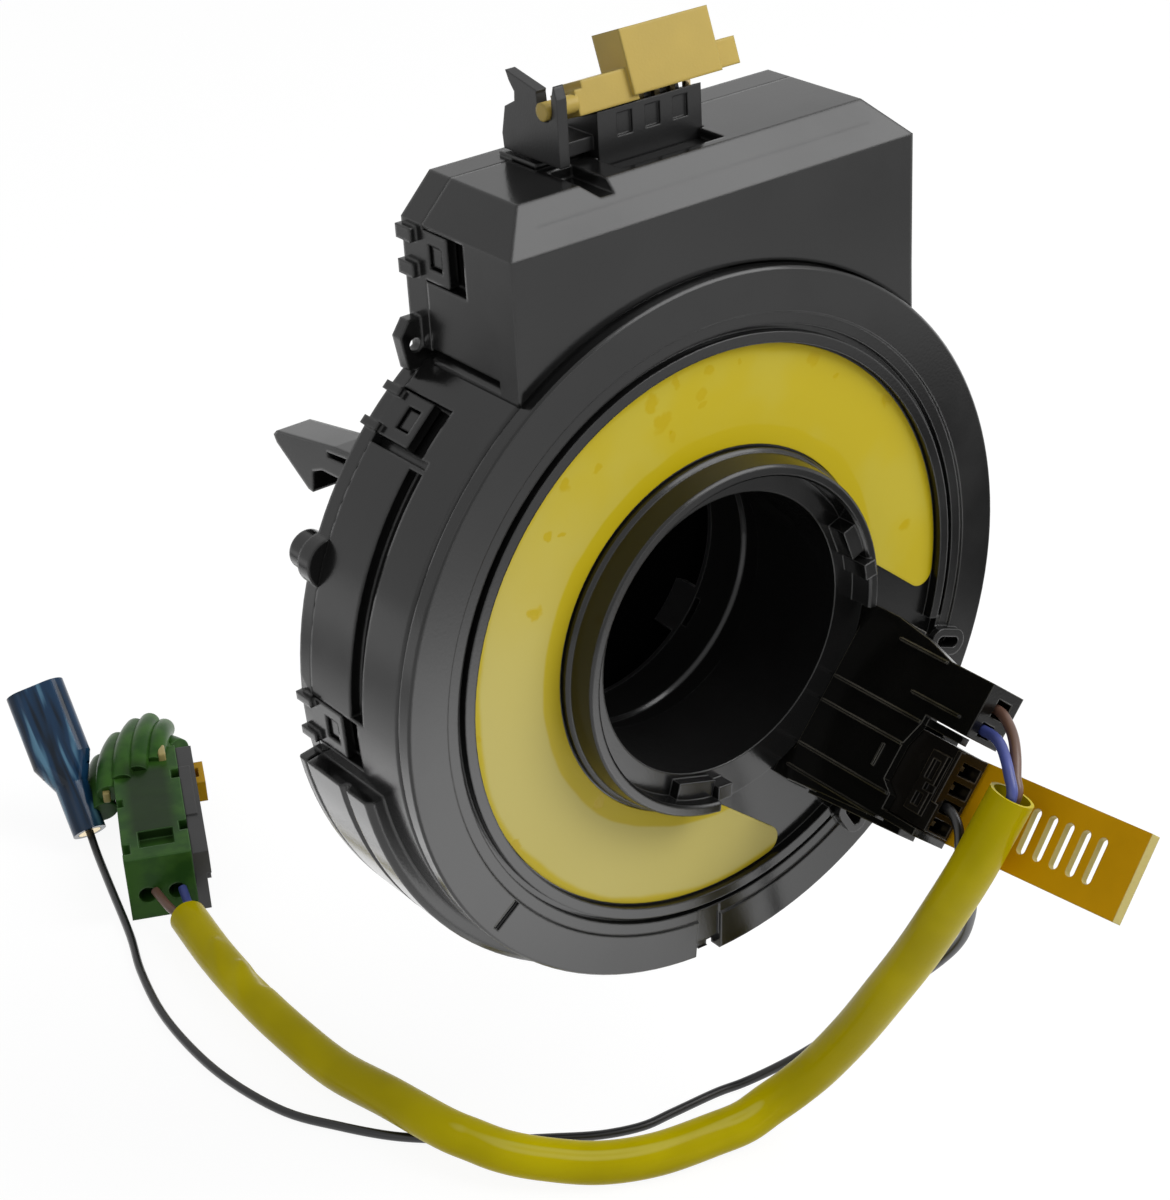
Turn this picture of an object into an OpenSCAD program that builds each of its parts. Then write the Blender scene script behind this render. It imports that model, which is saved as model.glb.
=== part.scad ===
// Steering clock spring: a fixed case with a turning ring, a wound flat cable between them,
// a column connector on the tower and a harness that rides on the ring.
// X is to the right and Z up as the driver sees it, and Y runs back along the steering column.
// The origin is on the steering axis, in the front face of the ring.

/* [Ring] */
// Radius of the turning ring
ring_r = 50; // [49:0.5:52]
// Thickness of the ring's outer edge
ring_edge = 2.2; // [1.8:0.1:2.6]
// Width of the ring's bright outer band
band_w = 6; // [4:0.5:7]
// Width of the lower band inside it
inner_band_w = 1.6; // [1:0.1:2.4]
// Width of the round groove
groove_w = 0.9; // [0.6:0.1:1.2]
// Depth of the round groove
groove_d = 1.4; // [0.8:0.1:1.5]
// Width of the raised rib round the label
rib_w = 1.5; // [1:0.1:2]
// Depth of the label's seat
seat_d = 1.5; // [1:0.1:2]
// Thickness of the disc behind the label
disc_t = 2; // [1.5:0.1:3]

/* [Hub] */
// Radius of the bore for the steering shaft
bore_r = 20; // [18:0.5:20.5]
// Wall of the hub tube
hub_wall = 2.8; // [2:0.1:3.2]
// Radius of the foot of the collar
foot_r = 25.8; // [25:0.1:27]
// Outer radius of the collar
collar_r = 24.8; // [24.4:0.1:25]
// Wall of the collar
collar_wall = 1.6; // [1.2:0.1:2]
// Height of the collar in front of the ring
collar_h = 3.6; // [2:0.1:6]
// Where the collar starts, in degrees from the right
collar_from = -8; // [-12:1:0]
// How far the collar goes round
collar_turn = 268; // [250:1:272]
// Depth of the first step inside the bore
step_y = 16; // [14:0.5:19]
// How much wider the bore is behind that step
step_w = 0.8; // [0.4:0.1:1.2]

/* [Label] */
// Thickness of the label
label_t = 0.3; // [0.1:0.1:0.6]
// Gap round the label
label_gap = 0.3; // [0.2:0.1:0.6]
// Distance of the label's upper cut from the plug's middle
label_cut_up = 18.2; // [16:0.2:22]
// Distance of the label's lower cut from the plug's middle
label_cut_low = 21; // [18:0.2:24]
// Rounding of the label's corners
label_corner = 2.2; // [1:0.2:4]

/* [Case] */
// Radius of the round case
case_r = 50; // [50:0.5:52]
// Wall of the case
case_wall = 2.5; // [2.4:0.1:3]
// Running gap between ring and case
rim_gap = 0.3; // [0.2:0.1:0.6]
// Depth of the round case
case_depth = 19.8; // [18:0.2:24]
// Radius of the guard round the lower half
guard_r = 52.5; // [51.5:0.5:54]
// Where the guard starts behind the ring
guard_y = 8; // [6:0.5:10]
// Thickness of the rear cover
cover_t = 2.5; // [2:0.1:3.5]
// Start of the curved slot behind the ring
slot_y = 10.3; // [9:0.1:12]
// Width of the curved slot
slot_w = 2.9; // [2:0.1:3.5]
// Depth of the curved slot
slot_d = 1.7; // [1:0.1:1.9]

/* [Tower] */
// Left side of the tower
tower_left = 28.5; // [26:0.5:30]
// Right side of the tower
tower_right = 35.8; // [34:0.2:37]
// Rise of the tower's top over the round case
tower_rise = 14.3; // [13:0.1:16]
// Front face of the tower behind the ring's face
tower_face = 2; // [1.6:0.1:2.4]
// Where the tower's case ends and its cover begins
tower_seam = 20.3; // [19.8:0.1:21]
// Cut of the upper corners
tower_corner = 4.7; // [3:0.1:6]
// Bevel along the upper front edge
tower_bevel = 4.7; // [3:0.1:6]

/* [Ring plug] */
// Direction of the plug round the axis
plug_a = -40; // [-44:1:-36]
// Distance of the plug's inner wall from the axis
plug_in = 24; // [23.8:0.1:25]
// Thickness of the plug's housing from the hub outwards
plug_n = 7.2; // [6.8:0.1:7.6]
// Height of the lead socket in front of the ring
socket_h = 25; // [22:0.5:28]
// Height of the plug's inner wall
wall_h = 16.2; // [14:0.1:18]
// Width of the plug that is pushed in
core_w = 11.8; // [10:0.2:12]
// Height of the end of that plug
core_h = 25; // [22:0.5:28]
// Wall of the plug's housing
plug_wall = 1.4; // [1:0.1:1.8]
// Clearance of the plug in its housing
plug_gap = 0.15; // [0.1:0.05:0.3]

/* [Transport lock] */
// Width of the lock strip
lock_w = 12.3; // [11:0.1:13]
// Thickness of the lock strip
lock_t = 1.2; // [0.8:0.1:1.6]
// Length of the lock strip
lock_l = 46.5; // [40:0.5:50]
// Lean of the strip, away from the ring's axis
lock_lean = 4.5; // [0:0.5:5]
// Height of the strip's foot in front of the ring
lock_foot = 6; // [4:0.5:10]
// Length of the slots in the strip
lock_slot = 6.5; // [4:0.1:8]
// Width of each slot
lock_slot_w = 1.4; // [1:0.1:1.8]
// Distance from slot to slot
lock_pitch = 2.75; // [2.4:0.05:3]
// Running gap between the strip and its guide
lock_gap = 0.25; // [0.15:0.05:0.4]

/* [Retainer] */
// Thickness of the retaining ring
retainer_t = 2; // [1.5:0.1:3]
// Width of the retaining ring
retainer_w = 4.2; // [3:0.1:5]
// Gap between the cover and the retaining ring
retainer_gap = 0.3; // [0.2:0.1:0.5]
// Length of its drive dogs
dog_l = 5; // [3:0.5:7]
// Angle that each drive dog covers
dog_a = 19; // [12:1:26]

/* [Column connector] */
// Left side of the connector on the tower
conn_left = -1.4; // [-3:0.1:-0.4]
// Width of the connector
conn_w = 14; // [13:0.1:15]
// Height of the connector
conn_h = 8.2; // [7:0.1:9]
// Depth of the connector
conn_d = 5.8; // [5.2:0.1:7]
// Lean of the connector towards the rear
conn_lean = 20; // [15:1:24]
// Wall of the connector
conn_wall = 1; // [0.8:0.1:1.2]
// Distance from contact to contact
pin_pitch = 2.5; // [2.2:0.1:2.8]
// Width of each contact
pin_w = 0.8; // [0.6:0.1:1]

/* [Fixings] */
// Radius of the locating pegs on the cover
peg_r = 2.7; // [2:0.1:3.5]
// Length of the locating pegs behind the cover
peg_l = 4; // [3:0.1:6]
// Reach of the hooks behind the cover
hook_l = 19.4; // [16:0.2:22]
// Width of the hooks
hook_w = 5.2; // [4:0.1:6]

/* [Harness] */
// Outer diameter of the yellow sleeve
sleeve_d = 6.3; // [5:0.1:7]
// Outer diameter of each wire
wire_d = 1.5; // [1.2:0.1:1.8]
// Length of the airbag connector
air_l = 42; // [36:0.5:46]
// Width of the airbag connector
air_w = 14.2; // [12:0.2:16]
// Height of the airbag connector
air_h = 12; // [10:0.2:14]
// Thickness of its side cover
air_side = 2.8; // [2:0.1:3.6]
// Width of the horn terminal's insulator
horn_w = 10.6; // [9:0.1:12]
// Thickness of the horn terminal's insulator
horn_t = 5.6; // [4.6:0.1:7]
// Length of the horn terminal's insulator
horn_l = 28; // [24:0.5:32]

/* [Hidden] */
$fn = 96;

// Radii of the ring, from the rim inwards
step_r = ring_r - band_w;
groove_out = step_r - inner_band_w;
groove_in = groove_out - groove_w;
seat_r = groove_in - rib_w;
label_r = seat_r - label_gap;
label_in = foot_r + label_gap;
hub_r = bore_r + hub_wall;
ledge_r = collar_r - collar_wall;
edge_cut = 0.3;

// Places along the axis, counted back from the ring's front face
disc_back = seat_d + disc_t;
case_front = ring_edge + rim_gap;
case_rear = case_front + case_depth;
cover_rear = case_rear + cover_t;
cavity_r = case_r - case_wall;
disc_r = cavity_r - 2 * rim_gap;
hub_gap = 0.5;
retainer_front = cover_rear + retainer_gap;
hub_end = retainer_front + retainer_t;
retainer_out = hub_r + retainer_w;
tower_top = case_r + tower_rise;
tower_low = case_r - 8;
slot_from = 139.4;
seam = 0.4;
slot_turn = 38.6;
guard_from = 189;
guard_turn = 162;

// Snap eyes of the cover and what they hook on
eye_t = 1.5;
eye_w = 6.4;
eye_y = 15.4;
pocket_d = eye_t + 0.4;
eye_places = [133.5, 182.5];
side_eye_z = tower_top - 8.6;
hook_x = case_r - 13.6;
hook_z = 26.2;
peg_x = case_r - 5;
peg_in = case_r - 6.6;
peg_up = 18.3;
crease_z = sqrt(case_r * case_r - tower_left * tower_left);

// The flat cable and its neighbours
sheet_t = 0.4;
sheet_in = hub_r + 5;
cable_front = disc_back + sheet_t + 1.1;
cable_rear = case_rear - sheet_t - 1.6;
cable_in = hub_r + 6.6;
cable_room = 4;
cable_t = 0.3;
cable_a = 62;
cable_turns = 11;
cable_wound = cable_turns * 360 + cable_a - plug_a;
cable_pitch = (cavity_r - cable_in - cable_room) * 360 / cable_wound;
passage_w = 4;
finger_gap = 0.45;

// The plug on the ring: n runs out from the axis, t across it
plug_out = plug_in + plug_n;
foot_low = 13.8;
foot_up = 13.3;
foot_h = 1.5;
foot_out = ring_r - 8.5;
foot_cut = 4.6;
seat_gap = 0.05;
socket_t0 = 3.2;
socket_t1 = 11.1;
low_wall_h = 18.3;
ridge_h = 0.4;
ridge_w = 0.35;
core_t1 = 1.35;
core_t0 = core_t1 - core_w;
core_n0 = plug_in + plug_wall + plug_gap;
core_n1 = plug_out - plug_gap;
core_foot = 1;
latch_h = 0.8;
cells = 4;
cell_w = 1.9;
cell_pitch = 2.75;
cell_n0 = core_n0 + 0.65;
cell_n1 = core_n1 - 0.55;
contact_in = 2;
// Mouths of the two leads: place outwards and across, width and height
mouths = [[28, 8.3, 3.2, 2.6], [27.1, 4.95, 2.8, 2]];
mouth_d = 5;
// Lugs inside the collar: place, depth, half width and reach back
hub_lugs = [[20, 2.2, 2.4, 3], [252, 2.6, 3.2, 1.6], [264, 1.6, 1.2, 2.4], [8, 1.4, 1.2, 4.4]];
loop_places = [plug_a + 18, plug_a - 19.4];
loop_r = ring_r - 6.1;
loop_l = 6.6;
loop_w = 4;
loop_wall = 1.2;
rib_gap_from = plug_a - 22.2;
rib_gap_turn = 44.6;
lock_n0 = plug_out + 0.6;
lock_n1 = lock_n0 + lock_t;
lock_mid = -6.2;
lock_lip = 0.9;
lock_last = 6.1;
lock_slots = 5;
guide_h = 17;
guide_w = 1.6;

// The column connector's own frame
conn_y = 12;
conn_z = tower_top + 6.9;
pin_up = 1.1;
pin_back = 1.4;
pivot_r = 1.15;
pivot_gap = 0.2;
socket_y0 = 13;
recess_y = 8;
tab_x = [-14.6, -7.3];
tab_y = 15.4;
socket_y1 = tower_seam - 0.3;
socket_x0 = -6.6;
socket_x1 = 9.8;
pin_x0 = conn_left + conn_w / 2 - 1.5 * pin_pitch;
pin_y = 15.3;
pin_t = 0.7;
block_top = tower_top - 6.3;
block_low = case_r - 4.5;
block_x = [-4, 28];
block_step = case_r + 2;
block_slots = [4, 12, 20];
bracket_x = -13.9;

// The surface that the loose harness lies on, and the route of each lead
rest_z = -84.5;
sleeve_path = [[18.6, -35.2, -16.4], [15.9, -34.3, -21.5], [14.2, -32.6, -27.2], [13.6, -29, -34.8],
    [12.9, -23.7, -45.2], [12.1, -18.5, -54.4], [11.3, -12.9, -63.9], [9.4, -7.7, -72.3], [6.6, -4.8, -76.7],
    [3.5, -3.2, -79], [-0.5, -2.3, -80.6], [-5, -1, -81.2], [-14.2, 1.2, -81.3], [-21.7, 5.1, -81.2],
    [-27.7, 10.3, -80.5], [-31.6, 14.8, -79.8], [-33.9, 19.6, -79.4], [-35.7, 24.6, -79.2],
    [-37.4, 36.2, -79.9], [-38.9, 47.9, -81.2], [-39.4, 59.1, -81.3], [-39.2, 71.4, -81.3],
    [-38, 85.6, -81.3], [-36, 98.8, -81.3]];
black_path = [[17, -22.6, -22.6], [17, -24.6, -22.6], [16.9, -26, -22.8], [16.7, -27.2, -23.7],
    [16.5, -27.9, -25.1], [16.3, -28.2, -27.2], [16.4, -28.4, -29.6], [17.6, -28.3, -32.8], [20.1, -27, -37.5],
    [21.8, -25, -43], [22.4, -22.8, -48], [21.8, -19.5, -53], [19.7, -13, -61], [16.9, -6, -69.5],
    [13.6, 0, -76.5], [10.6, 4.2, -80.8], [7.2, 7.2, -83.4], [2.8, 8.5, -83.8], [-5, 9.2, -83.8],
    [-10.3, 9.8, -83.8], [-16.2, 12.4, -83.8], [-22.3, 16.8, -83.8], [-28, 21.2, -83.8],
    [-34, 26.7, -83.8], [-39.6, 32.5, -83.8], [-44.5, 39.8, -83.8], [-48.8, 47.8, -83.8],
    [-51.3, 58.8, -83.8], [-51.9, 69.6, -83.8], [-50.9, 81.9, -83.8], [-48, 94, -83.8],
    [-44.4, 104.2, -83.8], [-40, 119.4, -83.6], [-37.2, 129, -83.3], [-36, 133.5, -81.5]];
brown_start = [[26.6, -19.6, -11.7], [26.6, -22.5, -11.7], [26.6, -25, -11.7], [25.5, -27.5, -11.8],
    [24, -30, -12.4], [22, -32.4, -13.4], [20.2, -34.2, -14.9], [19.2, -35.5, -16.3]];
blue_start = [[23.8, -19.6, -13.4], [23.8, -22.5, -13.4], [23.7, -25, -13.4], [22.9, -27.5, -12.8],
    [21.6, -30, -12.4], [20.1, -32.4, -12.8], [18.7, -34.5, -13.9], [17.7, -36, -15.6]];
brown_end = [[-36.8, 98.9, -81.1], [-37.6, 102, -80.2], [-37.6, 106.6, -79.2]];
blue_end = [[-35, 98.7, -81.2], [-34.2, 102, -80.6], [-33.4, 104.8, -79.6]];
air_at = [-35.2, 105.5, rest_z];
air_turn = -25;
air_head = 7;
air_body = air_l - air_head;
air_x0 = -air_w / 2;
air_x1 = air_w / 2;
air_in = air_x1 - air_side;
air_ribs = 5;
air_rib_r = 1.5;
air_rib_x0 = air_x0 + 0.6 + air_rib_r;
air_rib_pitch = (air_in - 0.1 - air_rib_r - air_rib_x0) / (air_ribs - 1);
air_leads = [-3.9, 1.1];
nose_r = 3.4;
horn_at = [-36, 133.5, -81.5];
horn_turn = [0, 0, -7.6];
horn_tilt = -46;
horn_roll = -20;
horn_wall = 0.9;
horn_neck = 3;
horn_barrel = 9;
horn_taper = 5;

black = "#1b1c1e";
cream = "#d7c891";
amber = "#c79300";
brass = "#b8924a";

function unit(v) = v / norm(v);
function heading(p, i) = unit(p[min(i + 1, len(p) - 1)] - p[max(i - 1, 0)]);
function ring_at(p, i, r, n) = let (t = heading(p, i), s = unit(cross(t, [0.8, 0.6, -0.3])), q = cross(s, t))
    [for (k = [0 : n - 1]) p[i] + r * (cos(360 * k / n) * s + sin(360 * k / n) * q)];

function turned_point(r, a) = [r * cos(a), r * sin(a)];

// A round lead along a list of points, as one closed solid
module lead(path, d, n) {
    rings = len(path);
    points = [for (i = [0 : rings - 1]) each ring_at(path, i, d / 2, n)];
    walls = [for (i = [0 : rings - 2], k = [0 : n - 1]) let (a = i * n + k, b = i * n + (k + 1) % n)
        each [[a, b, a + n], [b, b + n, a + n]]];
    first = [for (k = [n - 1 : -1 : 0]) k];
    last = [for (k = [0 : n - 1]) (rings - 1) * n + k];
    polyhedron(points, concat([first], walls, [last]), convexity = 10);
}

// Stands a shape up that is drawn as the driver sees it, with depth counted back from the face
module upright() rotate([90, 0, 0]) children();
module layer(y0, y1) translate([0, 0, -y1]) linear_extrude(y1 - y0) children();
module block(x, z, y) layer(y[0], y[1]) translate([x[0], z[0]]) square([x[1] - x[0], z[1] - z[0]]);
module turned(points, from = 0, turn = 360) rotate([0, 0, from]) rotate_extrude(angle = turn, $fn = 180)
    polygon(points);
module in_plug() rotate([0, 0, plug_a]) children();
// A flat shape seen from the hub, as height and place across the plug, with its thickness outwards
module side_plate(n0, n1) translate([n1, 0, 0]) rotate([0, -90, 0]) linear_extrude(n1 - n0) children();
module in_lock() translate([0, lock_mid, lock_foot]) rotate([-lock_lean, 0, 0]) children();
module stadium(w, t) {
    square([w - t, t], center = true);
    for (s = [-1, 1]) translate([s * (w - t) / 2, 0]) circle(t / 2, $fn = 32);
}

// Outline of the tower as the driver sees it, drawn smaller by the given inset
module tower_outline(inset = 0) {
    c = tower_corner;
    polygon([[-tower_left + inset, 0], [tower_right - inset + 0.6, 0], [tower_right - inset, tower_low],
        [tower_right - inset, tower_top - c - inset * 0.41],
        [tower_right - c - inset * 0.41, tower_top - inset],
        [-tower_left + c + inset * 0.41, tower_top - inset],
        [-tower_left + inset, tower_top - c - inset * 0.41]]);
}

// The tower's body between two depths, with the bevel along its upper front edge
module tower_body(y0, y1) difference() {
    layer(y0, y1) tower_outline();
    translate([-case_r, tower_top - tower_bevel, -tower_face]) rotate([-45, 0, 0])
        translate([0, -2 * tower_bevel, 0]) cube([2 * case_r, 5 * tower_bevel, 2 * tower_bevel]);
}

// A snap eye on the cover, drawn at the right of the axis and facing outwards
module snap_eye(r, w, y0, y1, t) difference() {
    block([r - t, r], [-w / 2, w / 2], [y0, y1]);
    block([r - t - 1, r + 1], [-w / 4, w / 4], [y0 + 1.2, y0 + 4]);
}
module snap_nib(r, w, y0, t) block([r - t, r - 0.4], [-w / 4 + 0.3, w / 4 - 0.3], [y0 + 1.5, y0 + 3.7]);

module eye_pocket(r)
    block([r - pocket_d, r + 4], [-eye_w / 2 - 0.3, eye_w / 2 + 0.3], [eye_y - 3.6, cover_rear]);

// Round wall of the case with the guard round its lower half
module stator_case() color(black) upright() difference() {
    union() {
        difference() {
            union() {
                turned([[cavity_r, -case_front], [case_r - 0.4, -case_front], [case_r, -case_front - 0.4],
                    [case_r, -case_rear], [cavity_r, -case_rear]]);
                turned([[case_r - 1, -guard_y], [guard_r - 0.8, -guard_y], [guard_r, -guard_y - 0.8],
                    [guard_r, -guard_y - 5], [guard_r - 0.9, -guard_y - 5.4], [guard_r - 0.9, -guard_y - 6.2],
                    [guard_r, -guard_y - 6.6], [guard_r, -case_rear], [case_r - 1, -case_rear]],
                    guard_from, guard_turn);
            }
            // Curved slot behind the ring
            turned([[case_r - slot_d, -slot_y], [case_r + 1, -slot_y], [case_r + 1, -slot_y - slot_w],
                [case_r - slot_d, -slot_y - slot_w]], slot_from, slot_turn);
            // Split beside the upper snap eye
            rotate([0, 0, slot_from - 1.3]) block([case_r - slot_d, case_r + 3], [-0.5, 0.5],
                [slot_y, case_rear + 1]);
            for (a = eye_places) rotate([0, 0, a]) eye_pocket(case_r);
            // Passage of the flat cable into the tower
            rotate([0, 0, cable_a]) block([cavity_r - 2, case_r + 3], [-passage_w / 2, passage_w / 2],
                [cable_front - 0.5, case_rear + 1]);
            // Radial mark on the rim
            rotate([0, 0, -112]) block([case_r - 1, case_r + 1], [-0.5, 0.5], [case_front - 1, case_front + 1]);
        }
        // Nibs that hold the cover's snap eyes
        for (a = eye_places) rotate([0, 0, a]) snap_nib(case_r, eye_w, eye_y, pocket_d + 0.4);
        // Pointer at the bottom of the rim
        rotate([0, 0, -94]) block([case_r - 2, case_r + 0.4], [-0.8, 0.8], [case_front - 0.2, case_front + 4]);
    }
    // The turning ring's path is kept clear of the pointer
    layer(-1, case_front) circle(ring_r + rim_gap);
}

// Tower that stands on the round wall, of one moulding with it
module tower_case() color(black) upright() {
    difference() {
        tower_body(tower_face, tower_seam);
        layer(tower_face + case_wall, tower_seam + 1) tower_outline(case_wall);
        layer(-1, tower_seam + 2) circle(case_r, $fn = 180);
        // Room for the turning ring in the tower's foot
        layer(-1, case_front) circle(ring_r + rim_gap);
        translate([0, side_eye_z, 0]) rotate([0, 0, 180]) eye_pocket(tower_left);
        // Opening for the column socket, recess in front of it and slanted slot beside it
        block([socket_x0 - 0.2, socket_x1 + 0.2], [tower_top - 4, tower_top + 1],
            [socket_y0 - 0.2, tower_seam + 1]);
        block([socket_x0 - 0.6, socket_x1 - 0.6], [tower_top - 1.2, tower_top + 1], [recess_y, socket_y0]);
        layer(3.5, socket_y0 + 0.5) polygon([[-15.8, tower_top + 1], [-12.6, tower_top - 1.6],
            [-10.5, tower_top - 1.6], [-10.5, tower_top + 1]]);
        block([tab_x[0] - 0.3, tab_x[1] + 0.3], [tower_top - 1.3, tower_top + 1],
            [tab_y - 0.4, tower_seam + 1]);
        // Wedge cut at the crease between tower and round wall
        translate([-tower_left, crease_z]) layer(6, tower_seam + 1) polygon([[-1, 2.3], [2.2, 2.3], [-1, 0.1]]);
    }
    translate([0, side_eye_z, 0]) rotate([0, 0, 180]) snap_nib(tower_left, eye_w, eye_y, pocket_d + 0.4);
}

// Hook behind the cover, drawn as reach back and distance from the axis
module hook() {
    root = cover_rear - 1;
    reach = cover_rear + hook_l;
    tip = hook_z + 0.8;
    rotate([0, 90, 0]) linear_extrude(hook_w, center = true) difference() {
        polygon([[root, hook_z + 4.6], [root + 5.2, hook_z + 4.1], [reach - 0.9, tip + 0.8], [reach, tip],
            [reach - 0.6, tip - 1], [reach - 7.6, tip - 5.3], [reach - 8.7, tip - 5.4],
            [reach - 9.2, tip - 2.2], [reach - 11.7, tip - 1.2], [root, hook_z]]);
        polygon([[root + 2, hook_z + 3.4], [root + 7, hook_z + 2.8], [root + 7, hook_z + 2],
            [root + 2, hook_z + 2.4]]);
    }
}

module cover_peg() turned([[0, -cover_rear + 1], [peg_r, -cover_rear + 1], [peg_r, -cover_rear - peg_l + 0.8],
    [peg_r - 0.8, -cover_rear - peg_l], [0, -cover_rear - peg_l]]);

module rear_cover() color(black) upright() {
    difference() {
        union() {
            layer(case_rear, cover_rear) {
                circle(case_r, $fn = 180);
                intersection() {
                    tower_outline();
                    translate([-case_r, tower_low / 2]) square([2 * case_r, tower_top]);
                }
            }
            turned([[case_r - 2, -case_rear - seam], [guard_r - 0.3, -case_rear - seam],
                [guard_r, -case_rear - seam - 0.3], [guard_r, -cover_rear + seam + 0.3],
                [guard_r - 0.3, -cover_rear + seam], [case_r - 2, -cover_rear + seam]], guard_from, guard_turn);
            // Raised border of the tower's half
            layer(tower_seam, case_rear) difference() {
                tower_outline();
                tower_outline(case_wall);
                circle(case_r + 0.1);
                translate([-case_r, 0]) square([2 * case_r, tower_low + 1]);
            }
            // Stiffening ribs and a raised border round the hub opening
            turned([[hub_r + hub_gap, -case_rear - 1], [retainer_out + 3, -case_rear - 1],
                [retainer_out + 3, -cover_rear - 0.8], [retainer_out + 1.6, -cover_rear - 0.8],
                [retainer_out + 1.2, -cover_rear], [hub_r + hub_gap, -cover_rear]]);
            for (a = [0 : 45 : 315]) rotate([0, 0, a])
                block([retainer_out + 2.5, case_r - 2], [-0.7, 0.7], [cover_rear - 1, cover_rear + 0.6]);
        }
        layer(0, cover_rear + 2) circle(hub_r + hub_gap, $fn = 180);
        // Holes that drain the cable chamber
        for (a = [70, 200, 330]) rotate([0, 0, a]) translate([cavity_r - 9.5, 0, -cover_rear - 2])
            cylinder(h = cover_t + 3, r = 1.5);
    }
    // Snap eyes over the case, with the two bumps of each eye's hinge
    for (a = eye_places) rotate([0, 0, a]) {
        snap_eye(case_r, eye_w, eye_y, case_rear + 0.5, eye_t);
        for (s = [-1, 1]) translate([0, s * (eye_w / 2 - 0.6), 0])
            block([case_r - eye_t, case_r + 0.8], [-0.6, 0.6], [case_rear - 0.8, cover_rear]);
    }
    translate([0, side_eye_z, 0]) rotate([0, 0, 180]) {
        snap_eye(tower_left, eye_w, eye_y, case_rear + 0.5, eye_t);
        for (s = [-1, 1]) translate([0, s * (eye_w / 2 - 0.9), 0])
            block([tower_left - eye_t, tower_left + 1], [-0.9, 0.9], [case_rear - 0.6, cover_rear]);
    }
    // Snap tab over the tower's top
    difference() {
        block(tab_x, [tower_top - 1, tower_top + 0.5], [tab_y, case_rear + 0.5]);
        block([tab_x[0] + 2, tab_x[1] - 1.9], [tower_top - 2, tower_top + 2], [tab_y + 1.2, tab_y + 4.2]);
    }
    // Ear with an eye at the crease
    difference() {
        translate([-tower_left, crease_z]) layer(case_rear, case_rear + 1.8)
            polygon([[2.5, -1.1], [-2.5, -0.6], [-3.3, 3.9], [-1.9, 5.9], [2.5, 5.9]]);
        translate([-tower_left - 1.1, crease_z + 2.5, -case_rear - 2.5]) cylinder(h = 4, r = 0.9);
    }
    // Two hooks opposite each other, and two locating pegs, of which the left one has a boss
    for (a = [0, 180]) rotate([0, 0, a]) translate([-hook_x, 0, 0]) hook();
    translate([-peg_x, peg_up, 0]) cover_peg();
    layer(case_rear, cover_rear) translate([-peg_x, peg_up]) circle(peg_r + 0.8);
    translate([peg_in, -peg_up, 0]) cover_peg();
}

// Frame of the leaning connector: x across, y up along it, z forward
module leaning() translate([0, conn_z, -conn_y]) rotate([-conn_lean, 0, 0]) children();
module conn_block(x, b, a) leaning() translate([x[0], b[0], -a[1]])
    cube([x[1] - x[0], b[1] - b[0], a[1] - a[0]]);

// Pin that the connector turns up on, with some room round it
module pivot(gap) leaning() translate([bracket_x - 0.5 - gap, pin_up, -pin_back]) rotate([0, 90, 0])
    cylinder(h = 5 + 2 * gap, r = pivot_r + gap);

module column_socket() color(black) upright() difference() {
    union() {
        block([socket_x0, socket_x1], [tower_top - 3.5, conn_z - 1], [socket_y0, socket_y1]);
        // Foot and side bracket with its pointed corner and the notch for the connector's pin
        block([bracket_x + 0.5, socket_x0 + 1], [tower_top + 0.8, tower_top + 2.6], [socket_y0 + 1, socket_y1]);
        translate([bracket_x, tower_top, -conn_y]) rotate([0, 90, 0]) linear_extrude(1.5)
            polygon([[-0.8, 0.8], [-0.8, 9.3], [-0.2, 10.9], [0.3, 9.1], [0.3, 7.5], [3.1, 7.5], [3.3, 9.3],
                [3.2, 9.7], [9.4, 11], [8.8, 9.8], [7.8, 8.6], [7.9, 7.4], [10, 6.3], [10.9, 2.7], [10.7, 0.8]]);
    }
    pivot(pivot_gap);
    conn_block([bracket_x + 2.9, conn_left + conn_w + 0.2], [-0.75, conn_h], [-0.15, conn_d + 0.15]);
    for (i = [0 : 3]) block([pin_x0 + i * pin_pitch - 0.6, pin_x0 + i * pin_pitch + 0.6],
        [tower_top - 5, conn_z + 2], [pin_y - pin_t / 2 - 0.3, pin_y + pin_t / 2 + 0.3]);
    // Row of shallow flutes on the front wall
    for (i = [0 : 2]) block([socket_x0 + 3 + 4.4 * i, socket_x0 + 5.4 + 4.4 * i],
        [tower_top + 2, conn_z - 2], [socket_y0 - 1, socket_y0 + 0.4]);
}

module column_connector() color(cream) upright() {
    right = conn_left + conn_w;
    difference() {
        union() {
            conn_block([conn_left, right], [0, conn_h], [0, conn_d]);
            conn_block([conn_left - 8.2, conn_left + 1], [-0.6, 3.5], [0.6, conn_d]);
            conn_block([right - 1, right + 3.6], [0.2, 3.7], [0.8, 2.8]);
            pivot(0);
        }
        // Mating cavity, open at the top, and its key slot
        conn_block([conn_left + conn_wall, right - conn_wall], [1.8, conn_h + 1],
            [conn_wall, conn_d - conn_wall]);
        conn_block([conn_left + 5, conn_left + 9], [conn_h - 3, conn_h + 1],
            [conn_d - conn_wall - 1, conn_d + 1]);
        // Ways of the contacts
        for (i = [0 : 3]) conn_block([pin_x0 + i * pin_pitch - 0.6, pin_x0 + i * pin_pitch + 0.6],
            [-2, 2.4], [conn_wall + 1.2, conn_d - conn_wall - 0.2]);
        // Step of the moulding on its left end
        conn_block([conn_left - 9.6, conn_left - 7], [2.6, 5], [0, conn_d + 1]);
    }
}

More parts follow.
